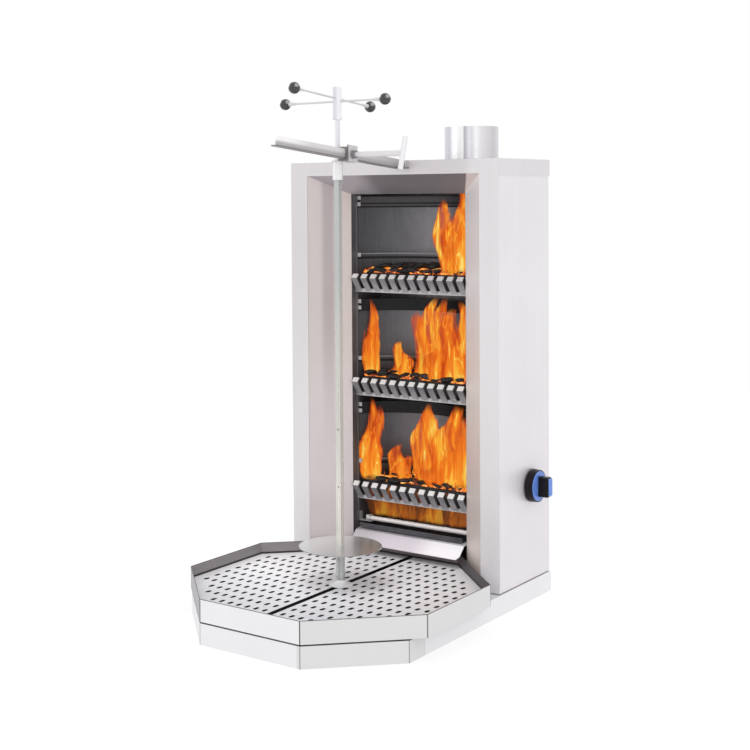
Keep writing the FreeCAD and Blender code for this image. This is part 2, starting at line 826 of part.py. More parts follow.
def smoke_duct():
    """Chamber ceiling with the duct that leads the smoke to the flue collar."""
    x0, x1 = 58.0, 236.0
    y0, y1 = 283.0, 430.0
    neck = 152.0
    neck_front = 333.0
    joint = 1014.0
    top = cabinet_top_level - sheet - 0.1
    ceiling = box(-chamber_half_width - sheet, chamber_half_width + sheet, shell_front, chamber_back + sheet,
                  chamber_top_level, chamber_top_level + sheet)
    duct = box(x0, x1, y0, y1, joint, top).fuse(box(x0, neck, neck_front, y1, chamber_top_level, joint))
    hollow = box(x0 + sheet, x1 - sheet, y0 + sheet, y1 - sheet, joint + sheet, top + 1)
    throat = box(x0 + sheet, neck - sheet, neck_front + sheet, y1 - sheet, chamber_top_level - 1, top)
    return ceiling.fuse(duct).cut(hollow).cut(throat).removeSplitter()


reflector_rise = reflector_middle - reflector_end
reflector_half = chamber_half_width - 1.5
reflector_radius = (reflector_half ** 2 + reflector_rise ** 2) / (2 * reflector_rise)
reflector_centre = reflector_middle - reflector_radius


def arc_sheet(forward, thickness, z0, z1):
    """Curved sheet on the reflector's arc, moved towards the front by forward."""
    outer = reflector_radius - forward
    ring = cylinder(outer, (0, reflector_centre, z0), (0, 0, 1), z1 - z0)
    ring = ring.cut(cylinder(outer - thickness, (0, reflector_centre, z0), (0, 0, 1), z1 - z0))
    keep = box(-reflector_half, reflector_half, reflector_end - 2, 500, z0, z1)
    return ring.common(keep)


def reflector(level):
    """Curved back reflector of one compartment, with a joggled top band and a rib."""
    panel = arc_sheet(0, 1.2, level + 3, level + 215)
    ledge = arc_sheet(0, 8, level + 213.8, level + 215)
    band = arc_sheet(6.8, 1.2, level + 215, level + 243)
    rib = arc_sheet(1.2, 4, level + 89, level + 97)
    return panel.fuse([ledge, band, rib]).removeSplitter()


def reflector_clips():
    """Bent tabs that hold the reflectors to the chamber walls."""
    clips = []
    for level in basket_levels.values():
        for rise in (91, 221.5, 238):
            x = chamber_half_width
            y = reflector_end - 4.6
            clip = box(x - 12, x, y, y + 1.5, level + rise - 5, level + rise + 5)
            clip = clip.fuse(box(x - 1.5, x, y, y + 2.2, level + rise - 5, level + rise + 5))
            clips += [clip, mirrored(clip)]
    return Part.makeCompound(clips)


basket_half = chamber_half_width - 5.0
basket_back_radius = reflector_radius - 12.0


def basket_runners():
    """Angle runners, welded to the chamber walls, that carry the three baskets."""
    runners = []
    for level in basket_levels.values():
        top = level - 0.3
        flat = box(chamber_half_width - 18, chamber_half_width, 346, 436, top - 1.5, top)
        web = box(chamber_half_width - 1.5, chamber_half_width, 346, 436, top - 14, top)
        runner = flat.fuse(web).removeSplitter()
        runners += [runner, mirrored(runner)]
    return runners


def fire_basket(level):
    """Grate with a comb-like bent front fence, one piece of sheet."""
    strip = box(-166, 166, fence_plane - finger_sheet, fence_plane, level - 4, level + 5)
    line = [(333.5, level - 1), (308, level + 33), (317, level + 42.6)]
    finger = side_prism(folded(line, finger_sheet), -finger_width / 2, finger_width / 2)
    fingers = []
    for i in range(finger_count):
        one = finger.copy()
        one.translate(Vector((i - (finger_count - 1) / 2) * finger_pitch, 0, 0))
        fingers.append(one)
    floor = box(-basket_half, basket_half, fence_plane - finger_sheet, 460, level, level + 2)
    reach = cylinder(basket_back_radius, (0, reflector_centre, level - 1), (0, 0, 1), 10)
    ahead = box(-200, 200, 300, reflector_centre + 110, level - 1, level + 10)
    floor = floor.common(reach.fuse(ahead))
    bars = []
    for i in range(-9, 10):
        bars.append(slot_hole(i * 16, 368, 8, 40, level - 1, level + 3))
    floor = floor.cut(Part.makeCompound(bars))
    return strip.fuse([floor] + fingers).removeSplitter()


def ash_pan():
    pan = box(-150, 150, 322, 440, 132, 142.8)
    return pan.cut(box(-148.8, 148.8, 323.2, 438.8, 133.2, 150))


def deflector_plate():
    """Sloping plate that throws fat from the chamber's lip back into the tray."""
    line = [(340.8, 130.2), (317, 125), (287, 98)]
    plate = side_prism(folded(line, sheet), -159, 159)
    corner = 8.0
    for side in (-1, 1):
        x = side * 159
        cut = [(x, 90, 98), (x - side * corner, 90, 98), (x, 90, 98 + corner)]
        low = extruded([(px, 280, pz - 1.2) for px, _, pz in cut], (0, 20, 0))
        plate = plate.cut(low)
    return plate


# ---------------------------------------------------------------- starter burner and knob
def burner_tube():
    """Starter burner, with a row of flame slots, and its riser to the valve."""
    radius = 6.0
    riser_x = inlet_x
    run = cylinder(radius, (-136, burner_y, burner_z), (1, 0, 0), riser_x + 136)
    elbow = Part.makeSphere(radius, Vector(riser_x, burner_y, burner_z))
    rise = cylinder(radius, (riser_x, burner_y, burner_z), (0, 0, 1), knob_z - burner_z)
    turn = Part.makeSphere(radius, Vector(riser_x, burner_y, knob_z))
    last = cylinder(radius, (riser_x, burner_y, knob_z), (0, 1, 0), knob_y - 14 - burner_y)
    tube = run.fuse([elbow, rise, turn, last])
    slots = []
    for x in range(-120, 150, 12):
        slots.append(box(x, x + 1.2, burner_y - 5, burner_y + 5, burner_z + 3.5, burner_z + 8))
    return tube.cut(Part.makeCompound(slots)).removeSplitter()


def burner_clip():
    """Bracket that holds the burner's closed end."""
    plate = box(-167, -128, burner_y - 6, burner_y + 9, burner_z - 8.5, burner_z - 7)
    ring = cylinder(9, (-139, burner_y, burner_z), (1, 0, 0), 9)
    ring = ring.cut(cylinder(6.0, (-140, burner_y, burner_z), (1, 0, 0), 20))
    cap = box(-143, -136.1, burner_y - 7, burner_y + 7, burner_z - 8, burner_z + 8)
    foot = box(-167, -165, burner_y - 5, burner_y + 9, burner_z - 8.5, burner_z + 14)
    return plate.fuse([ring, cap, foot]).removeSplitter()


spindle_face = panel_face - 12.0
spigot_start = cabinet_back + 2.0
spigot_length = 18.0
spigot_radius = 10.5


def gas_valve():
    """Valve body with the inlet pipe that leaves through the back panel."""
    body = box(inlet_x - 14, spindle_face, knob_y - 14, knob_y + 14, knob_z - 13, knob_z + 13)
    boss = cylinder(6.5, (spindle_face, knob_y, knob_z), (1, 0, 0), 10)
    pipe = cylinder(9.0, (inlet_x, knob_y + 14, inlet_z), (0, 1, 0), spigot_start - knob_y - 14)
    spigot = cylinder(spigot_radius, (inlet_x, spigot_start, inlet_z), (0, 1, 0), spigot_length)
    valve = body.fuse([boss, pipe, spigot])
    bore = cylinder(6.0, (inlet_x, cabinet_back - 60, inlet_z), (0, 1, 0), 90)
    stem_hole = cylinder(4.0 + running, (spindle_face - 10, knob_y, knob_z), (1, 0, 0), 30)
    return valve.cut(bore).cut(stem_hole)


def valve_spindle():
    start = spindle_face - 9.5
    return cylinder(4.0, (start, knob_y, knob_z), (1, 0, 0), spindle_end - start)


skirt_start = panel_face + knob_gap
skirt_height = 18.0
recess = 3.0                     # depth of the recess that takes the blue face
face_radius = knob_radius - 4.0
face_sheet = 4.5
wing_half = 24.0
wing_thick = 17.0
inlay = 2.0


def knob_skirt():
    front = skirt_start + skirt_height
    skirt = Part.makeCone(knob_radius, knob_radius - 1.5, skirt_height, Vector(skirt_start, knob_y, knob_z),
                          Vector(1, 0, 0))
    skirt = skirt.cut(cylinder(face_radius, (front - recess, knob_y, knob_z), (1, 0, 0), skirt_height))
    return skirt.cut(cylinder(4.0, (skirt_start - 1, knob_y, knob_z), (1, 0, 0), skirt_height))


def wing_outline(x0, x1):
    """Plan of the knob's wing between two planes, seen from the front of the machine."""
    corner = 5.0
    return [
        (x0, -wing_half),
        (x1 - corner, -wing_half),
        (x1, corner - wing_half),
        (x1, wing_half - corner),
        (x1 - corner, wing_half),
        (x0, wing_half),
    ]


def wing_solid(x0):
    points = [(x, knob_y - wing_thick / 2, knob_z + z) for x, z in wing_outline(x0, knob_tip)]
    return extruded(points, (0, wing_thick, 0))


def knob_face():
    """Blue face disc, with the blue strip let into the end of the wing."""
    start = skirt_start + skirt_height - recess
    face = cylinder(face_radius - 0.05, (start, knob_y, knob_z), (1, 0, 0), face_sheet)
    rim = [e for e in face.Edges if abs(e.CenterOfMass.x - start - face_sheet) < 0.01 and e.Length > 50]
    face = face.makeChamfer(1.2, rim)
    face = face.cut(cylinder(4.0, (start - 1, knob_y, knob_z), (1, 0, 0), 10))
    strip = wing_solid(start).common(box(knob_tip - inlay, knob_tip, 0, 600, 0, 600))
    return Part.makeCompound([face, strip])


def knob_grip():
    """Wing that the fingers turn, standing on the knob's face."""
    start = skirt_start + skirt_height - recess + face_sheet
    wing = wing_solid(start).cut(box(knob_tip - inlay, knob_tip + 1, 0, 600, 0, 600))
    return wing.cut(cylinder(4.0, (start - 1, knob_y, knob_z), (1, 0, 0), spindle_end + 1 - start))


def cable_gland():
    y0 = cabinet_back + 0.1
    gland = cylinder(8.0, (gland_x, y0 - 8, gland_z), (0, 1, 0), 8 + sheet)
    gland = gland.fuse(cylinder(11, (gland_x, y0 + sheet, gland_z), (0, 1, 0), 8))
    gland = gland.fuse(cylinder(11, (gland_x, y0 - 12, gland_z), (0, 1, 0), 4))
    return gland.cut(cylinder(4.0, (gland_x, y0 - 20, gland_z), (0, 1, 0), 60))


# ---------------------------------------------------------------- flue
def flue_collar():
    """Open spigot for the flue pipe, with a narrower foot held by four welded tabs."""
    foot_top = cabinet_top_level + collar_foot
    top = cabinet_top_level + flue_height
    foot_radius = flue_radius - collar_step
    collar = cylinder(foot_radius, (flue_x, flue_y, cabinet_top_level), (0, 0, 1), flue_height / 2)
    wall = cylinder(flue_radius, (flue_x, flue_y, foot_top), (0, 0, 1), top - foot_top)
    collar = collar.fuse(wall)
    for i in range(4):
        tab = box(foot_radius - 1, flue_radius + 9, -6, 6, cabinet_top_level, foot_top - 0.6)
        tab.rotate(Vector(0, 0, 0), Vector(0, 0, 1), 90 * i - 60)
        tab.translate(Vector(flue_x, flue_y, 0))
        collar = collar.fuse(tab)
    collar = collar.cut(cylinder(foot_radius - sheet, (flue_x, flue_y, 0), (0, 0, 1), top + 1))
    inner = flue_radius - sheet
    return collar.cut(cylinder(inner, (flue_x, flue_y, foot_top + sheet), (0, 0, 1), flue_height))


# ---------------------------------------------------------------- every piece, by name
pieces = {
    "base_skirt": base_skirt,
    "base_bottom_cover": base_bottom_cover,
    "base_deck": base_deck,
    "carriage_rails": carriage_rails,
    "tray_pads": tray_pads,
    "drip_tray": drip_tray,
    "top_arm": top_arm,
    "arm_bolts": arm_bolts,
    "carriage_bracket": carriage_bracket,
    "top_bush": top_bush,
    "clamp_nut": clamp_nut,
    "clamp_screw": clamp_screw,
    "clamp_tee_bar": clamp_tee_bar,
    "front_frame": front_frame,
    "back_panel": back_panel,
    "back_panel_screws": back_panel_screws,
    "cabinet_top": cabinet_top,
    "cabinet_floor": cabinet_floor,
    "hood_throat": hood_throat,
    "chamber_shell": chamber_shell,
    "smoke_duct": smoke_duct,
    "reflector_clips": reflector_clips,
    "ash_pan": ash_pan,
    "deflector_plate": deflector_plate,
    "burner_tube": burner_tube,
    "burner_clip": burner_clip,
    "gas_valve": gas_valve,
    "valve_spindle": valve_spindle,
    "knob_skirt": knob_skirt,
    "knob_face": knob_face,
    "knob_grip": knob_grip,
    "cable_gland": cable_gland,
    "flue_collar": flue_collar,
}

spit_pieces = {
    "carriage_plate": carriage_plate,
    "gearbox_cover": gearbox_cover,
    "output_bearings": output_bearings,
    "motor_can": motor_can,
    "motor_bolts": motor_bolts,
    "drive_gear": drive_gear,
    "output_shaft": output_shaft,
    "drive_cone": drive_cone,
    "motor_pinion": motor_pinion,
    "spit_bar": spit_bar,
    "meat_disc": meat_disc,
    "disc_pin": disc_pin,
    "cross_hub": cross_hub,
    "cross_rods": cross_rods,
    "ball_knobs": ball_knobs,
}

for name, make in pieces.items():
    save(name, make())

for name, make in spit_pieces.items():
    piece = make()
    piece.translate(Vector(0, spit_y, 0))
    save(name, piece)

for name, side in (("left", -1), ("right", 1)):
    save("perforated_plate_" + name, perforated_plate(side))
    save("side_panel_" + name, side_panel(side))
    save("jamb_" + name, jamb(side))

for name, level in basket_levels.items():
    save("reflector_" + name, reflector(level))
    save("fire_basket_" + name, fire_basket(level))
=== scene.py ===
import math
import random

import bmesh
import bpy
from mathutils import Matrix, Vector, noise


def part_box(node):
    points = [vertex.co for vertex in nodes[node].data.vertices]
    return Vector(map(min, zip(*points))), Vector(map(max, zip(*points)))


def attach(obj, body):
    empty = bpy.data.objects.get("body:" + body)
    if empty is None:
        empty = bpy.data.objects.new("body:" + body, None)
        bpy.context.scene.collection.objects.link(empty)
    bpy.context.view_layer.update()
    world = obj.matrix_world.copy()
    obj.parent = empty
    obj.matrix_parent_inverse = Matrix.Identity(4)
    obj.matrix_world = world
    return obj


# Looks for the vertical rotisserie broiler: a material for every CAD node, charcoal in the baskets, flames,
# floor, lights and camera. Metres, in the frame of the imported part.

# the space inside a fire basket, and the curved reflector behind it
BED_HALF_WIDTH = 0.154
BED_FRONT = 0.341
BED_CLEARANCE = 0.020                  # from the ember bed to the reflector
LUMP_CLEARANCE = 0.028                 # from the middle of a lump to the reflector
GRATE_THICKNESS = 0.006
REFLECTOR_CENTRE = 0.2442              # y of the arc's centre
REFLECTOR_RADIUS = 0.1938

# the ember bed, above the grate
EMBER_HEIGHT = 0.046
EMBER_RISE = 0.012                     # from front to back
EMBER_WAVES = 0.005
EMBER_EDGE = 0.002                     # height of its rim

# flames
FLAME_FACING = math.radians(20)        # turned about Z from facing the operator
FLAME_FOOT = 0.046                     # above the basket's lowest point
BURNER_FLAMES = 6
BURNER_FLAME_FOOT = 0.160              # just above the burner tube
BURNER_FLAME_Y = 0.352
BURNER_FLAME_X = -0.105                # of the first, furthest left
BURNER_FLAME_PITCH = 0.046

# places on the machine that its finishes refer to
TRAY_RIM = 0.101                       # where the tray's dark rim begins
TRAY_INSIDE = 0.3287                   # from the tray's middle to the inner faces of its walls
LEFT_FRONT_WALL = (1, 1, 0)            # below -0.4655 along this lies only the octagon's left front wall
RIGHT_WALLS = (1.0, -0.414, 0.0)       # the octagon's right front and right walls lie above 0.27 along this
SKIRT_SHORT = 0.028                    # how much closer the base's side walls stand than the octagon's
SPIT_Y = 0.017
COLLAR_ACROSS = (0.87, 0.49, 0.0)
COLLAR_MIDDLE = 0.3159                 # of the flue collar, along COLLAR_ACROSS
COLLAR_RADIUS = 0.065
CEILING_RIGHT = (1.0, 0.62, 0.0)       # above 0.364 along this lies the ceiling's right end
ARM_UP = (0.0, 0.08749, 1.0)           # square to the sloping arm
EDGE_WIDTH = 0.0012                    # of the painted edge highlights on sheet metal and mouldings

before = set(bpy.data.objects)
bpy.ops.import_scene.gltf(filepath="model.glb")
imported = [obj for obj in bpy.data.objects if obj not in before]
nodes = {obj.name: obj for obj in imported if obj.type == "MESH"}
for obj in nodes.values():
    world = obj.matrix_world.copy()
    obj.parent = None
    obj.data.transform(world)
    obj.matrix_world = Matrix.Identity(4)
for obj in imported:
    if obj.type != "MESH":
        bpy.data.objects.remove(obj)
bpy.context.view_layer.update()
scene = bpy.context.scene
scene.view_settings.view_transform = "Standard"


# ---------------------------------------------------------------- material building blocks
class Graph:
    """A node material under construction, with short calls for the nodes used here."""

    def __init__(self, name):
        self.material = bpy.data.materials.new(name)
        self.material.use_nodes = True
        self.tree = self.material.node_tree
        self.tree.nodes.clear()
        self.output = self.node("ShaderNodeOutputMaterial")
        self.shader = self.node("ShaderNodeBsdfPrincipled")
        self.link(self.shader.outputs[0], self.output.inputs["Surface"])
        self.place = self.node("ShaderNodeTexCoord").outputs["Object"]

    def node(self, kind, **settings):
        made = self.tree.nodes.new(kind)
        for key, value in settings.items():
            setattr(made, key, value)
        return made

    def link(self, source, target):
        self.tree.links.new(source, target)

    def feed(self, target, value):
        """Connects a socket, or sets a plain value."""
        if isinstance(value, bpy.types.NodeSocket):
            self.link(value, target)
        else:
            target.default_value = value

    def set(self, **values):
        """Feeds inputs of the Principled shader, named with _ for a space."""
        for key, value in values.items():
            self.feed(self.shader.inputs[key.replace("_", " ")], value)

    def scaled(self, scale):
        """The point being shaded, stretched along each axis."""
        mapping = self.node("ShaderNodeMapping")
        self.link(self.place, mapping.inputs["Vector"])
        mapping.inputs["Scale"].default_value = scale
        return mapping.outputs[0]

    def noise(self, scale, detail=3.0, rough=0.5, stretch=(1, 1, 1), distortion=0.0):
        texture = self.node("ShaderNodeTexNoise")
        self.link(self.scaled(stretch), texture.inputs["Vector"])
        texture.inputs["Scale"].default_value = scale
        texture.inputs["Detail"].default_value = detail
        texture.inputs["Roughness"].default_value = rough
        texture.inputs["Distortion"].default_value = distortion
        return texture.outputs["Fac"]

    def spread(self, value, low, high, to_low=0.0, to_high=1.0, smooth=False):
        """Maps value from low..high to to_low..to_high, clamped."""
        made = self.node("ShaderNodeMapRange", clamp=True)
        if smooth:
            made.interpolation_type = "SMOOTHSTEP"
        self.feed(made.inputs["Value"], value)
        for key, number in (("From Min", low), ("From Max", high), ("To Min", to_low), ("To Max", to_high)):
            self.feed(made.inputs[key], number)
        return made.outputs["Result"]

    def math(self, operation, a, b=0.0):
        made = self.node("ShaderNodeMath", operation=operation)
        self.feed(made.inputs[0], a)
        self.feed(made.inputs[1], b)
        return made.outputs[0]

    def mix(self, factor, a, b):
        made = self.node("ShaderNodeMix", data_type="RGBA")
        self.feed(made.inputs["Factor"], factor)
        self.feed(made.inputs["A"], colour(a))
        self.feed(made.inputs["B"], colour(b))
        return made.outputs["Result"]

    def ramp(self, value, stops):
        made = self.node("ShaderNodeValToRGB")
        self.feed(made.inputs["Fac"], value)
        elements = made.color_ramp.elements
        while len(elements) < len(stops):
            elements.new(1.0)
        for element, (place, shade) in zip(elements, stops):
            element.position = place
            element.color = colour(shade)
        return made.outputs["Color"]

    def axis(self, name):
        """One coordinate of the point being shaded, in metres, or a weighted sum of all three."""
        if isinstance(name, tuple):
            total = self.node("ShaderNodeVectorMath", operation="DOT_PRODUCT")
            self.link(self.place, total.inputs[0])
            total.inputs[1].default_value = name
            return total.outputs["Value"]
        made = self.node("ShaderNodeSeparateXYZ")
        self.link(self.place, made.inputs[0])
        return made.outputs["XYZ".index(name.upper())]

    def radius(self, x, y):
        """Distance from a vertical line through x, y."""
        across = self.math("SUBTRACT", self.axis("x"), x)
        deep = self.math("SUBTRACT", self.axis("y"), y)
        square = self.math("ADD", self.math("MULTIPLY", across, across), self.math("MULTIPLY", deep, deep))
        return self.math("SQRT", square)

    def outline(self, spare=0.0):
        """How far out the point is on the octagon, and how far along a wall the nearest corner is.

        spare is how much closer to the middle the side walls stand than on a regular octagon.
        """
        across = self.math("ABSOLUTE", self.axis("x"))
        deep = self.math("ABSOLUTE", self.axis("y"))
        corner = self.math("MULTIPLY", self.math("ADD", across, deep), math.sqrt(0.5))
        reach = self.math("MAXIMUM", self.math("MAXIMUM", across, deep), corner)
        one = self.math("ABSOLUTE", self.math("SUBTRACT", self.math("ADD", across, spare), corner))
        two = self.math("ABSOLUTE", self.math("SUBTRACT", deep, corner))
        return reach, self.math("MINIMUM", one, two)

    def edges(self, width):
        """1 along sharp edges, 0 on open faces."""
        bevel = self.node("ShaderNodeBevel", samples=4)
        bevel.inputs["Radius"].default_value = width
        normal = self.node("ShaderNodeNewGeometry").outputs["Normal"]
        dot = self.node("ShaderNodeVectorMath", operation="DOT_PRODUCT")
        self.link(bevel.outputs[0], dot.inputs[0])
        self.link(normal, dot.inputs[1])
        return self.spread(dot.outputs["Value"], 0.995, 0.82)

    def bump(self, height, distance, strength):
        made = self.node("ShaderNodeBump")
        made.inputs["Distance"].default_value = distance
        made.inputs["Strength"].default_value = strength
        self.feed(made.inputs["Height"], height)
        return made.outputs[0]


def colour(value):
    """A grey number or an RGB triple as RGBA; sockets pass through."""
    if isinstance(value, bpy.types.NodeSocket):
        return value
    if isinstance(value, (int, float)):
        return (value, value, value, 1.0)
    return tuple(value) + (1.0,) if len(value) == 3 else tuple(value)


def srgb(red, green, blue):
    """Linear colour from 0-255 screen values."""
    def one(c):
        c = c / 255
        return c / 12.92 if c <= 0.04045 else ((c + 0.055) / 1.055) ** 2.4
    return (one(red), one(green), one(blue))


# ---------------------------------------------------------------- metals
def brushed(name, tone, metallic=0.45, rough=0.42, grain="z", stain=0.05, fades=()):
    """Brushed stainless: fine grain along one axis, cloudy handling marks, painted highlights along sharp
    edges.

    Each fade is (axis, low, high, tone): the steel takes that tone where the axis passes high; here the
    fades paint light and shade.
    """
    g = Graph(name)
    along = {"x": (1.2, 260, 260), "y": (260, 1.2, 260), "z": (260, 260, 1.2)}[grain]
    grain_fine = g.noise(5.0, 2.0, 0.6, along)
    streak = g.noise(0.35, 3.0, 0.6, along)
    cloud = g.noise(7.0, 5.0, 0.55, distortion=0.4)
    drops = g.noise(55.0, 3.0, 0.7)
    base = tone
    for axis, low, high, other in fades:
        base = g.mix(g.spread(g.axis(axis), low, high, smooth=True), base, other)
    base = g.mix(g.spread(cloud, 0.35, 0.7, 0.0, stain), base, 0.3)
    base = g.mix(g.spread(streak, 0.3, 0.75, 0.0, 0.05), base, 0.35)
    # painted highlight: the colour is lightened along sharp edges
    edge = g.math("MULTIPLY", g.edges(EDGE_WIDTH), 0.35)
    base = g.mix(edge, base, [min(1.0, t * 1.12) for t in tone])
    roughness = g.spread(grain_fine, 0.25, 0.75, rough - 0.06, rough + 0.09)
    marks = g.spread(drops, 0.58, 0.75, 0.0, 0.08)
    roughness = g.math("ADD", roughness, marks)
    g.set(Base_Color=base, Metallic=metallic, Roughness=roughness, Anisotropic=0.35)
    g.set(Normal=g.bump(grain_fine, 0.00001, 0.4))
    return g.material


def sooty(name, tone, soot):
    """Heat-darkened steel: scale, straw and blue temper tints, soot that settles in clouds."""
    g = Graph(name)
    cloud = g.noise(9.0, 6.0, 0.6, (1, 1, 0.55), 0.8)
    scale = g.noise(120.0, 4.0, 0.65)
    run = g.noise(16.0, 4.0, 0.6, (1, 1, 0.12))
    base = g.mix(g.spread(cloud, 0.32, 0.68), tone, soot)
    base = g.mix(g.spread(run, 0.55, 0.8, 0.0, 0.6), base, [s * 0.45 for s in soot])
    temper = g.ramp(g.noise(5.0, 2.0, 0.5), [
        (0.35, (0.30, 0.24, 0.16)), (0.5, (0.22, 0.17, 0.19)), (0.65, (0.13, 0.16, 0.22))])
    base = g.mix(0.22, base, temper)
    # painted highlight: the colour is lightened along sharp edges
    base = g.mix(g.math("MULTIPLY", g.edges(EDGE_WIDTH), 0.6), base, (0.42, 0.41, 0.40))
    g.set(Base_Color=base, Metallic=0.7, Roughness=g.spread(scale, 0.3, 0.7, 0.4, 0.66))
    g.set(Normal=g.bump(scale, 0.0002, 0.5))
    return g.material


def polished(name, tone, rough=0.2, grain=(400, 400, 6), metallic=0.6, fades=()):
    """Polished bar: soft draw streaks and a few dull patches; fades as for brushed steel, painting light
    and shade.
    """
    g = Graph(name)
    lines = g.noise(0.4, 2.0, 0.6, grain)
    cloud = g.noise(22.0, 2.0, 0.5, (1, 1, 0.4))
    base = tone
    for axis, low, high, other in fades:
        base = g.mix(g.spread(g.axis(axis), low, high, smooth=True), base, other)
    base = g.mix(g.spread(cloud, 0.35, 0.72, 0.0, 0.08), base, 0.3)
    dull = g.spread(cloud, 0.3, 0.75, rough, rough + 0.1)
    roughness = g.math("ADD", dull, g.spread(lines, 0.3, 0.7, 0.0, 0.05))
    g.set(Base_Color=base, Metallic=metallic, Roughness=roughness)
    return g.material


def plate_metal():
    """Perforated plates: pale and lightly scratched on top, darker towards the front and right as painted
    shade, with painted shade in the walls of their holes.
    """
    g = Graph("plate_steel")
    scratch = g.noise(3.0, 3.0, 0.6, (60, 2, 60))
    cloud = g.noise(7.0, 5.0, 0.55, distortion=0.4)
    way = g.node("ShaderNodeSeparateXYZ")
    g.link(g.node("ShaderNodeNewGeometry").outputs["True Normal"], way.inputs[0])
    flat = g.spread(g.math("ABSOLUTE", way.outputs["Z"]), 0.4, 0.6)
    # painted shade: darker towards the front and towards the right
    base = g.mix(g.spread(g.axis("y"), 0.02, -0.22), srgb(243, 242, 243), srgb(206, 205, 209))
    base = g.mix(g.spread(g.axis("x"), 0.15, 0.30), base, srgb(214, 211, 211))
    base = g.mix(g.spread(cloud, 0.35, 0.7, 0.0, 0.03), base, 0.3)
    # painted shade: faces that are not flat, the hole walls and plate rims, are dark
    base = g.mix(flat, srgb(46, 44, 45), base)
    g.set(Base_Color=base, Metallic=0.15, Roughness=g.spread(scratch, 0.3, 0.7, 0.38, 0.5))
    g.set(Normal=g.bump(scratch, 0.00001, 0.3))
    return g.material


def tray_metal():
    """Drip tray: pale outside with painted shade on some walls, painted shade inside and under the plates,
    with a dark rim and corner seams.
    """
    g = Graph("tray_steel")
    grain = g.noise(5.0, 2.0, 0.6, (1.2, 260, 260))
    cloud = g.noise(7.0, 5.0, 0.55, distortion=0.4)
    reach, corner = g.outline()
    inside = g.spread(reach, TRAY_INSIDE + 0.0008, TRAY_INSIDE)
    # painted shade: the left front wall is much darker and the right walls a little darker than the rest of
    # the outside
    left = g.spread(g.axis(LEFT_FRONT_WALL), -0.4625, -0.4655)
    outside = g.mix(left, srgb(236, 235, 237), srgb(166, 164, 170))
    outside = g.mix(g.spread(g.axis(RIGHT_WALLS), 0.2735, 0.2745), outside, srgb(221, 220, 220))
    outside = g.mix(g.spread(corner, 0.0014, 0.0007), outside, srgb(92, 90, 92))
    # painted shade inside: the walls darken from left to right, turn dark under the plates and nearly black
    # at the floor
    wall = g.ramp(g.spread(g.axis("x"), -0.33, 0.33), [
        (0.0, srgb(150, 146, 147)), (0.30, srgb(140, 132, 134)),
        (0.70, srgb(122, 110, 112)), (0.78, srgb(74, 68, 70))])
    wall = g.mix(g.spread(g.axis("z"), 0.0790, 0.0775), wall, srgb(52, 49, 50))
    wall = g.mix(g.spread(g.axis("z"), 0.0650, 0.0600), wall, 0.008)
    base = g.mix(inside, outside, wall)
    base = g.mix(g.spread(g.axis("z"), TRAY_RIM - 0.0004, TRAY_RIM), base, srgb(104, 101, 103))
    base = g.mix(g.spread(cloud, 0.35, 0.7, 0.0, 0.05), base, 0.3)
    g.set(Base_Color=base, Metallic=0.4, Roughness=g.spread(grain, 0.25, 0.75, 0.36, 0.5), Anisotropic=0.3)
    g.set(Normal=g.bump(grain, 0.00001, 0.4))
    return g.material


def base_metal():
    """Base skirt and deck: satin sheet with fine dark seams at its front corners, painted shade on its
    right front wall and painted highlights along sharp edges.
    """
    g = Graph("base_steel")
    grain = g.noise(5.0, 2.0, 0.6, (1.2, 260, 260))
    cloud = g.noise(7.0, 5.0, 0.55, distortion=0.4)
    corner = g.outline(SKIRT_SHORT)[1]
    front = g.spread(g.axis("y"), -0.10, -0.101)
    seam = g.math("MULTIPLY", g.spread(corner, 0.0013, 0.0006), front)
    # painted shade: the right front wall is a little darker
    diagonal = g.math("MULTIPLY", g.spread(g.axis(RIGHT_WALLS), 0.264, 0.265), front)
    base = g.mix(diagonal, srgb(235, 234, 236), srgb(222, 221, 221))
    base = g.mix(g.spread(cloud, 0.35, 0.7, 0.0, 0.05), base, 0.3)
    base = g.mix(g.math("MULTIPLY", seam, 0.8), base, srgb(120, 118, 120))
    # painted highlight: lighter along sharp edges
    base = g.mix(g.math("MULTIPLY", g.edges(EDGE_WIDTH), 0.3), base, 0.95)
    g.set(Base_Color=base, Metallic=0.4, Roughness=g.spread(grain, 0.25, 0.75, 0.38, 0.52), Anisotropic=0.3)
    g.set(Normal=g.bump(grain, 0.00001, 0.4))
    return g.material


def collar_metal():
    """Rolled bright collar: broad soft bands of painted reflection around it, as a mirror-bright tube shows
    its room.
    """
    g = Graph("collar_steel")
    grain = g.noise(5.0, 2.0, 0.6, (260, 260, 1.2))
    cloud = g.noise(9.0, 4.0, 0.55)
    turn = g.spread(g.math("SUBTRACT", g.axis(COLLAR_ACROSS), COLLAR_MIDDLE), -COLLAR_RADIUS, COLLAR_RADIUS)
    # painted reflection: bands of light and dark around the collar
    base = g.ramp(turn, [
        (0.0, srgb(232, 230, 236)), (0.09, srgb(220, 217, 226)), (0.20, srgb(254, 254, 254)),
        (0.34, srgb(255, 255, 255)), (0.37, srgb(188, 185, 188)), (0.45, srgb(238, 237, 242)),
        (0.51, srgb(222, 221, 226)), (0.58, srgb(252, 252, 253)), (0.66, srgb(238, 236, 240)),
        (0.90, srgb(214, 209, 213)), (1.0, srgb(228, 226, 230))])
    base = g.mix(g.spread(cloud, 0.35, 0.7, 0.0, 0.05), base, 0.4)
    g.set(Base_Color=base, Metallic=0.7, Roughness=g.spread(grain, 0.25, 0.75, 0.2, 0.3))
    g.set(Normal=g.bump(grain, 0.000005, 0.3))
    return g.material


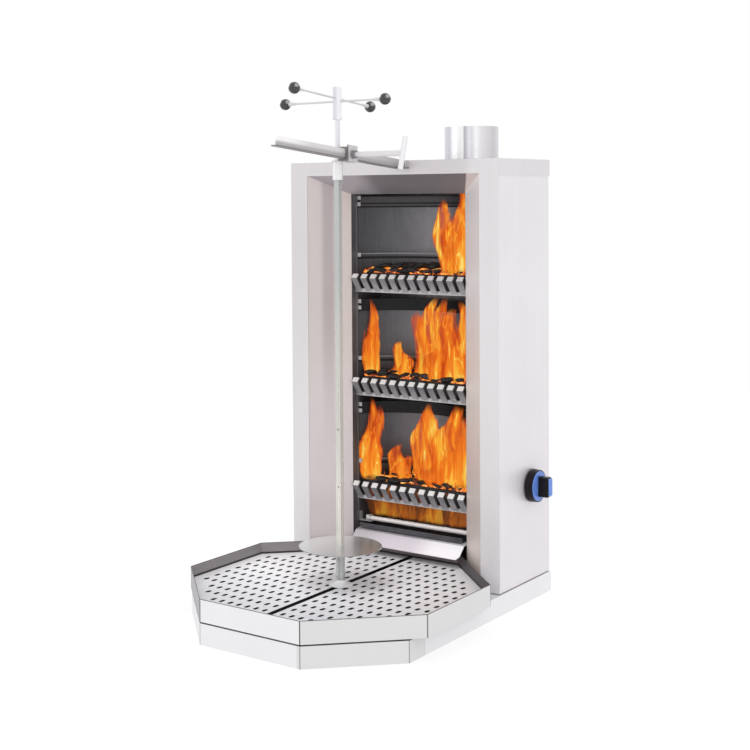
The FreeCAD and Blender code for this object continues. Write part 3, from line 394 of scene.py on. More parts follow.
def turned(name, tone):
    """Round plate finished on a lathe: rings about the spit, knife marks, painted shade darkening it
    towards the right and painted highlights along its edges.
    """
    g = Graph(name)
    ring = g.node("ShaderNodeTexNoise", noise_dimensions="1D")
    g.feed(ring.inputs["W"], g.math("MULTIPLY", g.radius(0.0, SPIT_Y), 900.0))
    ring.inputs["Scale"].default_value = 1.0
    ring.inputs["Detail"].default_value = 3.0
    fine = ring.outputs["Fac"]
    scratch = g.noise(30.0, 4.0, 0.7, (1.0, 7.0, 1.0))
    # painted shade: the disc darkens towards the right
    base = g.mix(g.spread(g.axis("x"), -0.07, 0.05, smooth=True), tone, [t * 0.62 for t in tone])
    base = g.mix(g.spread(fine, 0.3, 0.7, 0.0, 0.3), base, [t * 0.8 for t in tone])
    base = g.mix(g.spread(scratch, 0.6, 0.68, 0.0, 0.3), base, [min(1.0, t * 1.2) for t in tone])
    # painted highlight: lighter along sharp edges
    base = g.mix(g.math("MULTIPLY", g.edges(0.001), 0.5), base, 0.85)
    g.set(Base_Color=base, Metallic=0.7, Roughness=g.spread(fine, 0.2, 0.8, 0.14, 0.28))
    g.set(Normal=g.bump(fine, 0.00003, 0.4), Anisotropic=0.3)
    return g.material


# height above the sheet's lower edge, half width and tone of its painted lines, from its rib to its top
# edge: painted shadows below the rib, in the gap under the top band and along the top edge, and a painted
# highlight along the rib
PAINTED_REFLECTOR_LINES = (
    (0.0800, 0.0042, (0.012, 0.012, 0.013)),
    (0.0905, 0.0016, (0.30, 0.29, 0.29)),
    (0.2115, 0.0026, (0.010, 0.010, 0.011)),
    (0.2200, 0.0026, (0.012, 0.012, 0.013)),
    (0.2385, 0.0022, (0.016, 0.016, 0.017)),
)


def reflector_metal(foot, band):
    """Heat-blued back sheet: painted shade at its left side, darker towards its foot, soot clouds, painted
    shadow lines along its ledge and rib with a painted highlight on the rib, a top band darkened by painted
    shade.
    """
    g = Graph("reflector_metal")
    cloud = g.noise(9.0, 6.0, 0.6, (1, 1, 0.55), 0.8)
    scale = g.noise(120.0, 4.0, 0.65)
    grain = g.noise(3.0, 3.0, 0.6, (90, 90, 1.5))
    height = g.math("SUBTRACT", g.axis("z"), foot)
    # painted shade: darker towards the left side
    base = g.mix(g.spread(g.axis("x"), -0.15, 0.03, smooth=True), srgb(82, 82, 85), srgb(150, 148, 152))
    base = g.mix(g.spread(height, 0.04, 0.11), srgb(60, 58, 60), base)
    base = g.mix(g.spread(cloud, 0.35, 0.7, 0.0, 0.4), base, srgb(62, 61, 64))
    base = g.mix(g.spread(grain, 0.35, 0.7, 0.0, 0.10), base, srgb(160, 159, 162))
    # painted shade: the top band takes a darker tone
    base = g.mix(g.spread(height, 0.208, 0.212), base, band)
    # painted shadow lines and one painted highlight line across the sheet
    for middle, half, shade in PAINTED_REFLECTOR_LINES:
        away = g.math("ABSOLUTE", g.math("SUBTRACT", height, middle))
        base = g.mix(g.spread(away, half, half * 0.45), base, shade)
    g.set(Base_Color=base, Metallic=0.5, Roughness=g.spread(scale, 0.3, 0.7, 0.36, 0.56))
    g.set(Normal=g.bump(scale, 0.0002, 0.4))
    return g.material


def basket_metal(foot):
    """Scaled basket steel, lighter low down, with a painted highlight on its finger tips, painted shade
    behind its front and painted highlights along its edges.
    """
    g = Graph("basket_metal")
    cloud = g.noise(40.0, 5.0, 0.6)
    scale = g.noise(260.0, 3.0, 0.6)
    height = g.math("SUBTRACT", g.axis("z"), foot)
    base = g.mix(g.spread(height, 0.004, 0.030), srgb(196, 195, 197), srgb(150, 150, 154))
    base = g.mix(g.spread(cloud, 0.3, 0.7, 0.0, 0.35), base, srgb(112, 112, 116))
    # painted highlight: the finger tips are made bright
    tip = g.spread(height, 0.0365, 0.0385, smooth=True)
    base = g.mix(tip, base, srgb(246, 244, 242))
    # painted shade: everything behind the basket's front is nearly black
    root = g.spread(g.axis("y"), 0.336, 0.339)
    base = g.mix(root, base, srgb(30, 29, 29))
    # painted highlight: lighter along sharp edges
    base = g.mix(g.math("MULTIPLY", g.edges(0.001), 0.6), base, srgb(225, 222, 218))
    g.set(Base_Color=base, Metallic=0.65, Roughness=g.spread(scale, 0.3, 0.7, 0.34, 0.5))
    g.set(Normal=g.bump(scale, 0.00012, 0.5))
    return g.material


def cast_metal(name, tone, metallic, rough):
    """Machined or plated small part with a fine tooth."""
    g = Graph(name)
    tooth = g.noise(300.0, 3.0, 0.6)
    cloud = g.noise(45.0, 4.0, 0.6)
    base = g.mix(g.spread(cloud, 0.35, 0.7), tone, [t * 0.75 for t in tone])
    # painted highlight: the colour is lightened along sharp edges
    edge_highlight = [min(1.0, t * 1.4 + 0.05) for t in tone]
    base = g.mix(g.math("MULTIPLY", g.edges(0.0006), 0.55), base, edge_highlight)
    roughness = g.spread(tooth, 0.3, 0.7, rough - 0.07, rough + 0.1)
    g.set(Base_Color=base, Metallic=metallic, Roughness=roughness)
    g.set(Normal=g.bump(tooth, 0.00006, 0.5))
    return g.material


def moulded(name, tone, rough, texture=900.0, shine=0.0, depth=0.00004, gloss=0.3, glint=0.0):
    """Moulded plastic: pored surface, faint handling sheen, painted highlights along its edges, painted
    highlight patches where it faces two given directions.
    """
    g = Graph(name)
    pores = g.noise(texture, 2.0, 0.6)
    cloud = g.noise(60.0, 3.0, 0.6)
    base = g.mix(g.spread(cloud, 0.35, 0.7), tone, [t * 0.8 + 0.003 for t in tone])
    # painted highlight: the colour is lightened along sharp edges
    base = g.mix(g.math("MULTIPLY", g.edges(EDGE_WIDTH), 0.3), base, [t * 1.6 + 0.03 for t in tone])
    # painted highlight: patches lighten where the surface faces either of two given directions
    for highlight_facing, strength in (((-0.62, -0.68, 0.38), 1.0), ((0.80, -0.42, 0.42), 0.5)):
        facing = g.node("ShaderNodeVectorMath", operation="DOT_PRODUCT")
        g.link(g.node("ShaderNodeNewGeometry").outputs["Normal"], facing.inputs[0])
        facing.inputs[1].default_value = highlight_facing
        patch = g.spread(facing.outputs["Value"], 0.90, 0.98, 0.0, glint * strength, smooth=True)
        base = g.mix(patch, base, srgb(232, 228, 226))
    g.set(Base_Color=base, Roughness=g.spread(cloud, 0.3, 0.7, rough - 0.05, rough + 0.07))
    g.set(Coat_Weight=shine, Coat_Roughness=0.08, Specular_IOR_Level=gloss)
    g.set(Normal=g.bump(pores, depth, 0.6))
    return g.material


# ---------------------------------------------------------------- fire
def charcoal_material():
    """Lump charcoal: black split faces, grey ash on the upper sides, a few embers in the cracks."""
    g = Graph("charcoal")
    split = g.noise(70.0, 5.0, 0.7, (1, 1, 2.2))
    fine = g.noise(420.0, 4.0, 0.7)
    cells = g.node("ShaderNodeTexVoronoi", feature="DISTANCE_TO_EDGE")
    g.link(g.place, cells.inputs["Vector"])
    cells.inputs["Scale"].default_value = 40.0
    hot_zone = g.noise(17.0, 3.0, 0.55)
    crack = g.spread(cells.outputs["Distance"], 0.045, 0.0)
    heat = g.math("MULTIPLY", crack, g.spread(hot_zone, 0.53, 0.66))
    up = g.node("ShaderNodeSeparateXYZ")
    g.link(g.node("ShaderNodeNewGeometry").outputs["Normal"], up.inputs[0])
    ash = g.math("MULTIPLY", g.spread(up.outputs["Z"], 0.35, 0.95), g.spread(fine, 0.45, 0.62))
    base = g.mix(g.spread(split, 0.3, 0.7), (0.006, 0.006, 0.007), (0.020, 0.019, 0.019))
    base = g.mix(g.math("MULTIPLY", ash, 0.22), base, (0.12, 0.11, 0.105))
    ember = g.ramp(heat, [(0.0, (0.25, 0.01, 0.0)), (0.45, (1.0, 0.16, 0.01)), (1.0, (1.0, 0.55, 0.12))])
    g.set(Base_Color=base, Roughness=g.spread(fine, 0.3, 0.7, 0.42, 0.75))
    g.set(Emission_Color=ember, Emission_Strength=g.math("MULTIPLY", heat, 1.6))
    g.set(Normal=g.bump(g.math("ADD", split, g.math("MULTIPLY", fine, 0.4)), 0.0012, 0.8))
    return g.material


def ember_material(grate):
    """Glowing small coal between the lumps: yellow-white hearts, orange rims, black crusts."""
    g = Graph("embers")
    hot = g.noise(34.0, 5.0, 0.62, (1, 1.6, 1), 0.9)
    crust = g.noise(150.0, 4.0, 0.7)
    heat = g.math("ADD", hot, g.math("MULTIPLY", g.math("SUBTRACT", crust, 0.5), 0.30))
    height = g.math("SUBTRACT", g.axis("z"), grate)
    heat = g.math("SUBTRACT", heat, g.spread(height, 0.044, 0.038, 0.0, 0.6))
    shade = g.ramp(g.spread(heat, 0.38, 0.66), [
        (0.0, (0.02, 0.001, 0.0)), (0.35, (0.75, 0.10, 0.01)), (0.7, (1.0, 0.36, 0.05)),
        (1.0, (1.0, 0.72, 0.26))])
    g.set(Base_Color=(0.015, 0.013, 0.012, 1.0), Roughness=g.spread(crust, 0.3, 0.7, 0.5, 0.8))
    g.set(Emission_Color=shade, Emission_Strength=g.spread(heat, 0.38, 0.56, 0.0, 1.25))
    g.set(Normal=g.bump(crust, 0.001, 0.8))
    return g.material


def flame_material(name, heats, top=0.94):
    """Flame sheet: a veil from dark orange at its rim to yellow in its heart, with a few bright threads."""
    g = Graph(name)
    g.tree.nodes.remove(g.shader)
    parts = g.node("ShaderNodeSeparateXYZ")
    g.link(g.node("ShaderNodeTexCoord").outputs["UV"], parts.inputs[0])
    across, up = parts.outputs["X"], parts.outputs["Y"]
    warp = g.noise(1.0, 2.0, 0.5, (20, 20, 9))
    moved = g.math("ADD", across, g.math("MULTIPLY", g.math("SUBTRACT", warp, 0.5), 0.5))
    side = g.math("ABSOLUTE", g.math("SUBTRACT", g.math("MULTIPLY", moved, 2.0), 1.0))
    edge = g.spread(side, 1.0, 0.30, smooth=True)
    licks = g.noise(1.0, 3.0, 0.55, (44, 44, 10), 0.5)
    ragged = g.math("MULTIPLY", g.math("SUBTRACT", licks, 0.5), g.spread(up, 0.0, 1.0, 0.9, 2.4))
    body = g.math("ADD", edge, ragged)
    body = g.math("SUBTRACT", body, g.math("MULTIPLY", g.math("POWER", up, 3.0), 0.35))
    cover = g.spread(body, 0.16, 0.52, smooth=True)
    cover = g.math("MULTIPLY", cover, g.spread(up, 0.0, 0.12, smooth=True))
    cover = g.math("MULTIPLY", cover, g.spread(up, 1.0, 0.86, smooth=True))
    folds = g.noise(1.0, 3.0, 0.5, (52, 52, 9), 0.7)
    mottle = g.math("MULTIPLY", g.math("SUBTRACT", folds, 0.5), 1.7)
    heat = g.math("ADD", g.math("MULTIPLY", body, 0.42), mottle)
    heat = g.math("ADD", heat, g.spread(up, 0.5, 0.0, 0.12, 0.34))
    veins = g.noise(1.0, 2.0, 0.5, (36, 36, 6), 0.9)
    ridge = g.math("ABSOLUTE", g.math("SUBTRACT", g.math("MULTIPLY", veins, 2.0), 1.0))
    thread = g.spread(ridge, 0.05, 0.0, smooth=True)
    heat = g.math("ADD", heat, g.math("MULTIPLY", thread, 0.28))
    shade = g.ramp(heat, heats)
    glow = g.node("ShaderNodeEmission")
    g.link(shade, glow.inputs["Color"])
    seen = g.node("ShaderNodeLightPath").outputs["Is Camera Ray"]
    g.feed(glow.inputs["Strength"], g.spread(seen, 0.0, 1.0, 0.35, 1.0))
    clear = g.node("ShaderNodeBsdfTransparent")
    blend = g.node("ShaderNodeMixShader")
    g.link(g.math("MULTIPLY", cover, g.spread(heat, 0.0, 0.55, top * 0.5, top)), blend.inputs["Fac"])
    g.link(clear.outputs[0], blend.inputs[1])
    g.link(glow.outputs[0], blend.inputs[2])
    g.link(blend.outputs[0], g.output.inputs["Surface"])
    return g.material


# ---------------------------------------------------------------- finishes on the CAD nodes
# painted light: the front steel darkens towards the top, while the right post keeps one even tone
panel = brushed("panel_steel", srgb(230, 227, 228), fades=[
    ("z", 0.35, 0.95, srgb(218, 214, 215)), ("x", 0.20, 0.235, srgb(228, 225, 227))])
# painted shade: the side panels darken a little towards the bottom
side = brushed("side_steel", srgb(237, 234, 237), fades=[("z", 0.80, 0.20, srgb(231, 227, 231))])
# painted reflection: a dark band near x = -0.21 stands for the spit reflected in the left jamb; painted
# light: lighter towards the bottom
jamb_left = brushed("jamb_steel_left", srgb(216, 205, 204), fades=[
    ("x", -0.228, -0.216, srgb(190, 178, 178)), ("x", -0.206, -0.192, srgb(220, 206, 201)),
    ("z", 0.75, 0.25, srgb(230, 219, 220))])
# painted shade: the right jamb darkens and turns warmer towards the bottom
jamb_right = brushed("jamb_steel_right", srgb(252, 245, 244), fades=[
    ("z", 0.80, 0.55, srgb(252, 240, 233)), ("z", 0.50, 0.22, srgb(232, 220, 214))])
# painted shade: the ceiling darkens right of x = -0.05; painted light: its right end is bright
ceiling = brushed("ceiling_steel", srgb(186, 180, 186), grain="y", stain=0.12, fades=[
    ("x", -0.115, -0.05, srgb(140, 135, 139)), (CEILING_RIGHT, 0.360, 0.364, srgb(250, 240, 238))])
tray = tray_metal()
plate = plate_metal()
base_steel = base_metal()
collar = collar_metal()
# painted light: the deflector brightens from left to right
deflector = brushed("deflector_steel", srgb(196, 192, 196), grain="x", fades=[
    ("x", -0.14, -0.06, srgb(216, 208, 215)), ("x", 0.0, 0.10, srgb(253, 250, 253))])
# painted shade: the arm darkens towards its rear and its lower part, with a dark strip along its lower edge
arm = brushed("arm_steel", srgb(254, 252, 253), grain="y", fades=[
    ("y", -0.22, -0.12, srgb(224, 222, 223)), ("y", 0.03, 0.20, srgb(198, 194, 195)),
    (ARM_UP, 1.0865, 1.0775, srgb(182, 179, 180)),
    (ARM_UP, 1.0742, 1.0732, srgb(134, 130, 131))])
# painted shade: the bracket's front face, ahead of y = -0.0018, is dark
bracket = brushed("bracket_steel", srgb(212, 210, 212), grain="z", fades=[
    ("y", -0.0005, -0.0018, srgb(122, 116, 114))])
zinc = brushed("galvanised", srgb(176, 179, 184), metallic=0.8, rough=0.48, grain="y", stain=0.25)
chamber = sooty("chamber_steel", srgb(158, 155, 157), srgb(104, 102, 103))
ash_black = sooty("ash_pan_steel", srgb(94, 91, 92), srgb(60, 58, 58))
# painted light: the spit and output shaft grow lighter low down and above the arm
bright = polished("bright_steel", srgb(188, 192, 190), fades=[
    ("z", 0.85, 0.60, srgb(206, 206, 200)), ("z", 0.50, 0.28, srgb(226, 222, 216)),
    ("z", 1.085, 1.095, srgb(236, 234, 240))])
guard = polished("guard_steel", srgb(240, 240, 240), metallic=0.4)
cone = polished("cone_steel", srgb(254, 254, 255), 0.4, metallic=0.1)
# painted light: the hub is lighter on its right side
chrome = polished("hub_chrome", srgb(222, 221, 228), 0.45, metallic=0.1, fades=[
    ("x", 0.0, 0.0095, srgb(244, 244, 247))])
rods = polished("rod_steel", srgb(212, 210, 213), 0.45, metallic=0.1)
screw = polished("screw_steel", srgb(222, 220, 222), 0.35, metallic=0.2)
tee = polished("tee_steel", srgb(236, 234, 236), 0.35, metallic=0.2)
tube = polished("burner_steel", srgb(242, 235, 233), 0.4, (6, 400, 400), 0.15)
disc = turned("disc_steel", srgb(224, 227, 226))
fastener = cast_metal("fastener_steel", srgb(150, 148, 150), 0.8, 0.32)
gear = cast_metal("gear_steel", srgb(120, 120, 124), 0.9, 0.35)
bronze = cast_metal("bronze", srgb(186, 148, 92), 0.95, 0.34)
enamel = moulded("motor_enamel", srgb(34, 34, 37), 0.35, 500.0)
black_ball = moulded("ball_plastic", srgb(52, 51, 52), 0.14, 1200.0, 0.5, 0.00001, 0.4, 0.85)
black = moulded("knob_plastic", srgb(24, 20, 22), 0.30, gloss=0.16)
blue = moulded("knob_blue", srgb(104, 142, 224), 0.3, 1200.0, 0.1)
clip = cast_metal("clip_steel", srgb(232, 229, 226), 0.4, 0.34)

finishes = {
    panel: ["front_frame", "cabinet_top", "back_panel"],
    side: ["side_panel_left", "side_panel_right"],
    jamb_left: ["jamb_left"],
    jamb_right: ["jamb_right"],
    ceiling: ["hood_throat"],
    tray: ["drip_tray"],
    plate: ["perforated_plate_left", "perforated_plate_right"],
    base_steel: ["base_skirt", "base_deck"],
    collar: ["flue_collar"],
    deflector: ["deflector_plate"],
    arm: ["top_arm"],
    bracket: ["carriage_bracket"],
    zinc: [
        "base_bottom_cover", "carriage_rails", "carriage_plate", "gearbox_cover",
        "cabinet_floor", "smoke_duct"],
    chamber: ["chamber_shell"],
    ash_black: ["ash_pan"],
    bright: ["spit_bar", "output_shaft"],
    guard: ["top_bush"],
    cone: ["drive_cone"],
    chrome: ["cross_hub"],
    rods: ["cross_rods"],
    screw: ["clamp_screw"],
    tee: ["clamp_tee_bar"],
    tube: ["burner_tube"],
    disc: ["meat_disc"],
    fastener: [
        "arm_bolts", "back_panel_screws", "motor_bolts", "clamp_nut", "disc_pin",
        "valve_spindle", "output_bearings"],
    gear: ["drive_gear", "motor_pinion"],
    bronze: ["gas_valve"],
    enamel: ["motor_can"],
    black_ball: ["ball_knobs"],
    black: ["knob_skirt", "knob_grip", "cable_gland", "tray_pads"],
    blue: ["knob_face"],
    clip: ["reflector_clips", "burner_clip"],
}


def paint(name, material):
    """Gives a CAD node one material."""
    mesh = nodes[name].data
    mesh.materials.clear()
    mesh.materials.append(material)


for material, names in finishes.items():
    for name in names:
        paint(name, material)

levels = ("lower", "middle", "upper")
for level in levels:
    basket = "fire_basket_" + level
    paint(basket, basket_metal(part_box(basket)[0].z))
    back = "reflector_" + level
    # painted shade: the lower and middle reflectors get a much darker top band than the upper one
    band = srgb(84, 81, 83) if level == "upper" else srgb(30, 29, 31)
    paint(back, reflector_metal(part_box(back)[0].z, band))

painted = {name for names in finishes.values() for name in names}
painted |= {kind + level for kind in ("fire_basket_", "reflector_") for level in levels}
assert painted == set(nodes), painted ^ set(nodes)


# ---------------------------------------------------------------- softened edges on CAD nodes
def soften(name, width):
    """A small bevel on the sharp edges of a CAD node."""
    modifier = nodes[name].modifiers.new("edge", "BEVEL")
    modifier.width = width
    modifier.segments = 2
    modifier.limit_method = "ANGLE"
    modifier.angle_limit = math.radians(38)
    modifier.use_clamp_overlap = True


for name, width in (("knob_grip", 0.0012), ("carriage_bracket", 0.0005), ("gas_valve", 0.0008)):
    soften(name, width)


# ---------------------------------------------------------------- charcoal
def lump(mesh, centre, size, turn, seed):
    """One piece of lump charcoal: a blocky stone with split, slightly hollow faces."""
    made = bmesh.ops.create_icosphere(mesh, subdivisions=3, radius=1.0)
    points = made["verts"]
    rng = random.Random(seed)
    cuts = []
    for _ in range(9):
        normal = Vector((rng.gauss(0, 1), rng.gauss(0, 1), rng.gauss(0, 1))).normalized()
        cuts.append((normal, rng.uniform(0.62, 0.86)))
    shift = Vector((rng.uniform(0, 50), rng.uniform(0, 50), rng.uniform(0, 50)))
    for v in points:
        p = v.co.copy()
        for normal, reach in cuts:
            over = p.dot(normal) - reach
            if over > 0:
                p -= normal * over * 0.92
        p += p.normalized() * 0.09 * noise.fractal(p * 2.3 + shift, 0.8, 2.1, 4)
        v.co = Vector((p.x * size[0], p.y * size[1], p.z * size[2]))
    bmesh.ops.transform(mesh, verts=points, matrix=Matrix.Translation(centre) @ turn)


def arc_y(x):
    """How far back the curved reflector stands at x."""
    return REFLECTOR_CENTRE + math.sqrt(max(REFLECTOR_RADIUS ** 2 - x * x, 0.0))


def ember_bed(mesh, grate, seed):
    """A bumpy bed of small glowing coal that fills the basket and rises towards the back."""
    columns, rows = 44, 14
    shift = Vector((seed * 3.1, seed * 1.7, 0))
    grid = []
    for i in range(columns + 1):
        x = -BED_HALF_WIDTH + 2 * BED_HALF_WIDTH * i / columns
        far = arc_y(x) - BED_CLEARANCE
        line = []
        for j in range(rows + 1):
            y = BED_FRONT + (far - BED_FRONT) * j / rows
            waves = noise.fractal(Vector((x * 40, y * 40, 0)) + shift, 0.8, 2.0, 3)
            rise = EMBER_HEIGHT + EMBER_RISE * j / rows + EMBER_WAVES * waves
            edge = min(i, columns - i, j, rows - j)
            if edge == 0:
                rise = EMBER_EDGE
            line.append(mesh.verts.new((x, y, grate + rise)))
        grid.append(line)
    for i in range(columns):
        for j in range(rows):
            face = mesh.faces.new((grid[i][j], grid[i + 1][j], grid[i + 1][j + 1], grid[i][j + 1]))
            face.material_index = 1


def charcoal_bed(level, seed):
    """A heap of charcoal on one basket's grate: glowing bed, dark lumps on top, kept behind the fence."""
    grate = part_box("fire_basket_" + level)[0].z + GRATE_THICKNESS
    mesh = bmesh.new()
    rng = random.Random(seed)
    ember_bed(mesh, grate, seed)
    index = 0
    # depth, half width, number of lumps and height of each row of charcoal
    lump_rows = ((0.354, 0.146, 9, 0.050), (0.380, 0.130, 7, 0.058), (0.404, 0.090, 5, 0.063))
    for y, half, count, rise in lump_rows:
        for i in range(count):
            size = [rng.uniform(0.017, 0.026), rng.uniform(0.013, 0.019), rng.uniform(0.006, 0.009)]
            x = -half + 2 * half * (i + 0.5) / count + rng.uniform(-0.006, 0.006)
            deep = min(y + rng.uniform(-0.004, 0.004), arc_y(x) - LUMP_CLEARANCE)
            spin = Matrix.Rotation(rng.uniform(-0.5, 0.5), 4, "Z")
            tilt = Matrix.Rotation(rng.uniform(-0.25, 0.25), 4, "Y")
            index += 1
            centre = Vector((x, deep, grate + rise + rng.uniform(-0.003, 0.003)))
            lump(mesh, centre, size, spin @ tilt, seed * 100 + index)
    data = bpy.data.meshes.new("charcoal_" + level)
    mesh.to_mesh(data)
    mesh.free()
    for face in data.polygons:
        face.use_smooth = True
    data.materials.append(coal_black)
    data.materials.append(ember_material(grate))
    piece = bpy.data.objects.new("charcoal_" + level, data)
    scene.collection.objects.link(piece)
    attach(piece, "basket_" + level)


coal_black = charcoal_material()
for order, level in enumerate(levels):
    charcoal_bed(level, 11 + order)


# ---------------------------------------------------------------- flames, as stage dressing
def flame(body, foot, x, y, height, width, lean, seed, material):
    """A curved tongue of fire, widest below its middle, that sways up to a thin tip."""
    rows, columns = 24, 8
    rng = random.Random(seed)
    phase = rng.uniform(0, 6.28)
    mesh = bmesh.new()
    uv = mesh.loops.layers.uv.new("UVMap")
    right = Vector((math.cos(FLAME_FACING), math.sin(FLAME_FACING), 0))
    ahead = Vector((-right.y, right.x, 0))
    grid = []
    for i in range(rows + 1):
        t = i / rows
        span = width * (0.12 + 0.88 * math.sin(math.pi * (0.20 + 0.78 * t)) ** 0.8)
        sway = lean * t + 0.24 * width * t * math.sin(6.2 * t + phase)
        row = []
        for j in range(columns + 1):
            across = j / columns * 2 - 1
            bulge = 0.10 * span * (1 - across * across)
            place = Vector((x, y, foot)) + right * (across * span / 2 + sway) - ahead * bulge
            row.append(mesh.verts.new(place + Vector((0, 0, height * t))))
        grid.append(row)
    for i in range(rows):
        for j in range(columns):
            face = mesh.faces.new((grid[i][j], grid[i][j + 1], grid[i + 1][j + 1], grid[i + 1][j]))
            face.smooth = True
            corners = ((j, i), (j + 1, i), (j + 1, i + 1), (j, i + 1))
            for loop, (a, b) in zip(face.loops, corners):
                loop[uv].uv = (a / columns, b / rows)
    data = bpy.data.meshes.new("flame")
    mesh.to_mesh(data)
    mesh.free()
    data.materials.append(material)
    piece = bpy.data.objects.new("flame", data)
    scene.collection.objects.link(piece)
    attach(piece, body)


fire = flame_material("flame", [
    (0.0, srgb(150, 46, 16)), (0.22, srgb(206, 74, 22)), (0.45, srgb(236, 112, 32)),
    (0.66, srgb(247, 146, 42)), (0.84, srgb(252, 190, 66)), (1.0, srgb(255, 222, 120))])
low_fire = flame_material("burner_glow", [
    (0.0, srgb(58, 38, 30)), (0.4, srgb(122, 64, 28)), (0.7, srgb(184, 98, 32)),
    (1.0, srgb(216, 150, 48))], 0.66)
# x, y, height, width and lean of each flame
flames = {
    "lower": [(-0.144, 0.352, 0.215, 0.060, 0.006), (-0.120, 0.345, 0.200, 0.062, 0.004),
              (-0.134, 0.348, 0.130, 0.070, 0.010),
              (-0.064, 0.372, 0.100, 0.066, 0.008), (-0.038, 0.366, 0.075, 0.056, -0.004),
              (0.018, 0.366, 0.200, 0.070, -0.010), (0.042, 0.360, 0.215, 0.086, 0.010),
              (0.078, 0.356, 0.215, 0.084, 0.020), (0.100, 0.352, 0.190, 0.070, 0.036),
              (0.132, 0.350, 0.215, 0.066, 0.000), (0.060, 0.358, 0.095, 0.110, 0.010)],
    "middle": [(-0.128, 0.360, 0.205, 0.050, -0.010), (-0.138, 0.352, 0.140, 0.048, 0.006),
               (-0.060, 0.372, 0.098, 0.064, 0.010), (-0.036, 0.366, 0.072, 0.054, -0.004),
               (0.016, 0.368, 0.180, 0.070, -0.006), (0.040, 0.362, 0.215, 0.080, 0.010),
               (0.076, 0.358, 0.215, 0.084, 0.018), (0.100, 0.354, 0.190, 0.080, 0.010),
               (0.134, 0.350, 0.210, 0.066, 0.000), (0.074, 0.356, 0.100, 0.120, 0.010)],
    "upper": [(0.092, 0.362, 0.195, 0.062, -0.026), (0.106, 0.358, 0.225, 0.074, 0.020),
              (0.120, 0.352, 0.130, 0.084, 0.000), (0.140, 0.350, 0.185, 0.046, 0.004)],
}
for order, level in enumerate(levels):
    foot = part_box("fire_basket_" + level)[0].z + FLAME_FOOT
    for index, (x, y, height, width, lean) in enumerate(flames[level]):
        flame("basket_" + level, foot, x, y, height, width, lean, 40 + 10 * order + index, fire)
for index in range(BURNER_FLAMES):
    x = BURNER_FLAME_X + BURNER_FLAME_PITCH * index
    flame("frame", BURNER_FLAME_FOOT, x, BURNER_FLAME_Y, 0.090, 0.10, 0.0, 90 + index, low_fire)


# ---------------------------------------------------------------- light and camera
def studio():
    """White surroundings with a soft darker horizon, so that the metal has something to show."""
    world = bpy.data.worlds.new("studio")
    scene.world = world
    world.use_nodes = True
    tree = world.node_tree
    tree.nodes.clear()
    coords = tree.nodes.new("ShaderNodeTexCoord")
    split = tree.nodes.new("ShaderNodeSeparateXYZ")
    tree.links.new(coords.outputs["Generated"], split.inputs[0])
    ramp = tree.nodes.new("ShaderNodeValToRGB")
    stops = ((0.0, 0.95), (0.46, 0.95), (0.54, 0.84), (0.70, 0.93), (1.0, 1.0))
    ramp.color_ramp.elements.new(0.5)
    while len(ramp.color_ramp.elements) < len(stops):
        ramp.color_ramp.elements.new(0.5)
    for element, (place, grey) in zip(ramp.color_ramp.elements, stops):
        element.position = place
        element.color = (grey, grey, grey * 1.01, 1)
    lift = tree.nodes.new("ShaderNodeMapRange")
    lift.inputs["From Min"].default_value = -1.0
    tree.links.new(split.outputs["Z"], lift.inputs["Value"])
    tree.links.new(lift.outputs[0], ramp.inputs[0])
    lit = tree.nodes.new("ShaderNodeBackground")
    tree.links.new(ramp.outputs[0], lit.inputs["Color"])
    seen = tree.nodes.new("ShaderNodeBackground")
    seen.inputs["Color"].default_value = (1, 1, 1, 1)
    path = tree.nodes.new("ShaderNodeLightPath")
    mix = tree.nodes.new("ShaderNodeMixShader")
    tree.links.new(path.outputs["Is Camera Ray"], mix.inputs[0])
    tree.links.new(lit.outputs[0], mix.inputs[1])
    tree.links.new(seen.outputs[0], mix.inputs[2])
    output = tree.nodes.new("ShaderNodeOutputWorld")
    tree.links.new(mix.outputs[0], output.inputs["Surface"])


def floor():
    """Plain pale floor, bright enough to run into the white surroundings."""
    mesh = bmesh.new()
    bmesh.ops.create_circle(mesh, cap_ends=True, radius=4.0, segments=96)
    data = bpy.data.meshes.new("floor")
    mesh.to_mesh(data)
    mesh.free()
    g = Graph("floor")
    cloud = g.noise(1.5, 3.0, 0.5)
    tone = g.mix(cloud, 0.21, 0.23)
    g.set(Base_Color=tone, Roughness=g.spread(cloud, 0.3, 0.7, 0.8, 0.9), Specular_IOR_Level=0.0)
    g.set(Emission_Color=(1.0, 1.0, 1.0, 1.0), Emission_Strength=0.81)
    data.materials.append(g.material)
    ground = bpy.data.objects.new("floor", data)
    ground.location = (0, 0, -0.0006)
    scene.collection.objects.link(ground)


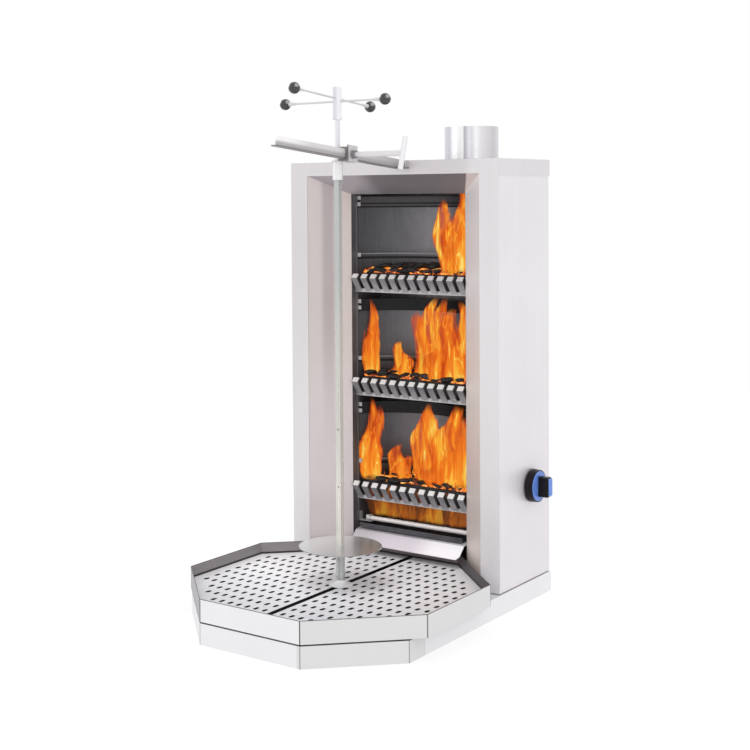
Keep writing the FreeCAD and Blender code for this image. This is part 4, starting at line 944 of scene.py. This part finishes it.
def softbox(name, place, aim, width, height, power, lit=()):
    """A square light; with lit given, it lights only those CAD nodes."""
    data = bpy.data.lights.new(name, "AREA")
    data.shape = "RECTANGLE"
    data.size = width
    data.size_y = height
    data.energy = power
    light = bpy.data.objects.new(name, data)
    light.location = place
    light.rotation_euler = (Vector(aim) - Vector(place)).to_track_quat("-Z", "Y").to_euler()
    scene.collection.objects.link(light)
    if lit:
        chosen = bpy.data.collections.new(name + "_lit")
        for node in lit:
            chosen.objects.link(nodes[node])
        light.light_linking.receiver_collection = chosen


def camera():
    """Low three-quarter view from the front right; the lens shift holds only at this viewpoint."""
    eye = Vector((1.8310, -2.6105, 0.9845))
    yaw = math.radians(36.9)
    pitch = math.radians(-1.72)
    roll = math.radians(-0.47)
    data = bpy.data.cameras.new("camera")
    data.sensor_width = 36.0
    data.lens = 66.16
    data.clip_end = 60.0
    view = bpy.data.objects.new("camera", data)
    view.matrix_world = Matrix.Translation(eye)
    for angle, axis in ((yaw, "Z"), (math.pi / 2 + pitch, "X"), (roll, "Z")):
        view.matrix_world = view.matrix_world @ Matrix.Rotation(angle, 4, axis)
    scene.collection.objects.link(view)
    scene.camera = view
    home = bpy.data.objects.new("camera_home", None)
    home.location = eye
    scene.collection.objects.link(home)
    for path, amount in (("shift_x", 0.1141), ("shift_y", -0.1827)):
        curve = data.driver_add(path)
        curve.driver.type = "SUM"
        variable = curve.driver.variables.new()
        variable.type = "LOC_DIFF"
        variable.targets[0].id = view
        variable.targets[1].id = home
        while curve.modifiers:
            curve.modifiers.remove(curve.modifiers[0])
        for distance, value in ((0.0, amount), (0.1, 0.0), (10.0, 0.0)):
            key = curve.keyframe_points.insert(distance, value)
            key.interpolation = "LINEAR"
        curve.extrapolation = "CONSTANT"


studio()
floor()
softbox("key", (2.6, -2.6, 3.0), (0, 0.1, 0.5), 2.2, 2.2, 22)
softbox("fill", (-2.8, -2.2, 2.0), (0, 0.1, 0.5), 2.4, 2.4, 8)
softbox("overhead", (0.1, -0.8, 2.6), (0, -0.05, 0.1), 1.6, 1.6, 20, (
    "perforated_plate_left", "perforated_plate_right", "meat_disc", "drive_cone",
    "deflector_plate", "burner_tube"))
softbox("back", (0.5, 3.2, 2.8), (0, 0.2, 0.8), 2.0, 2.0, 14)
camera()
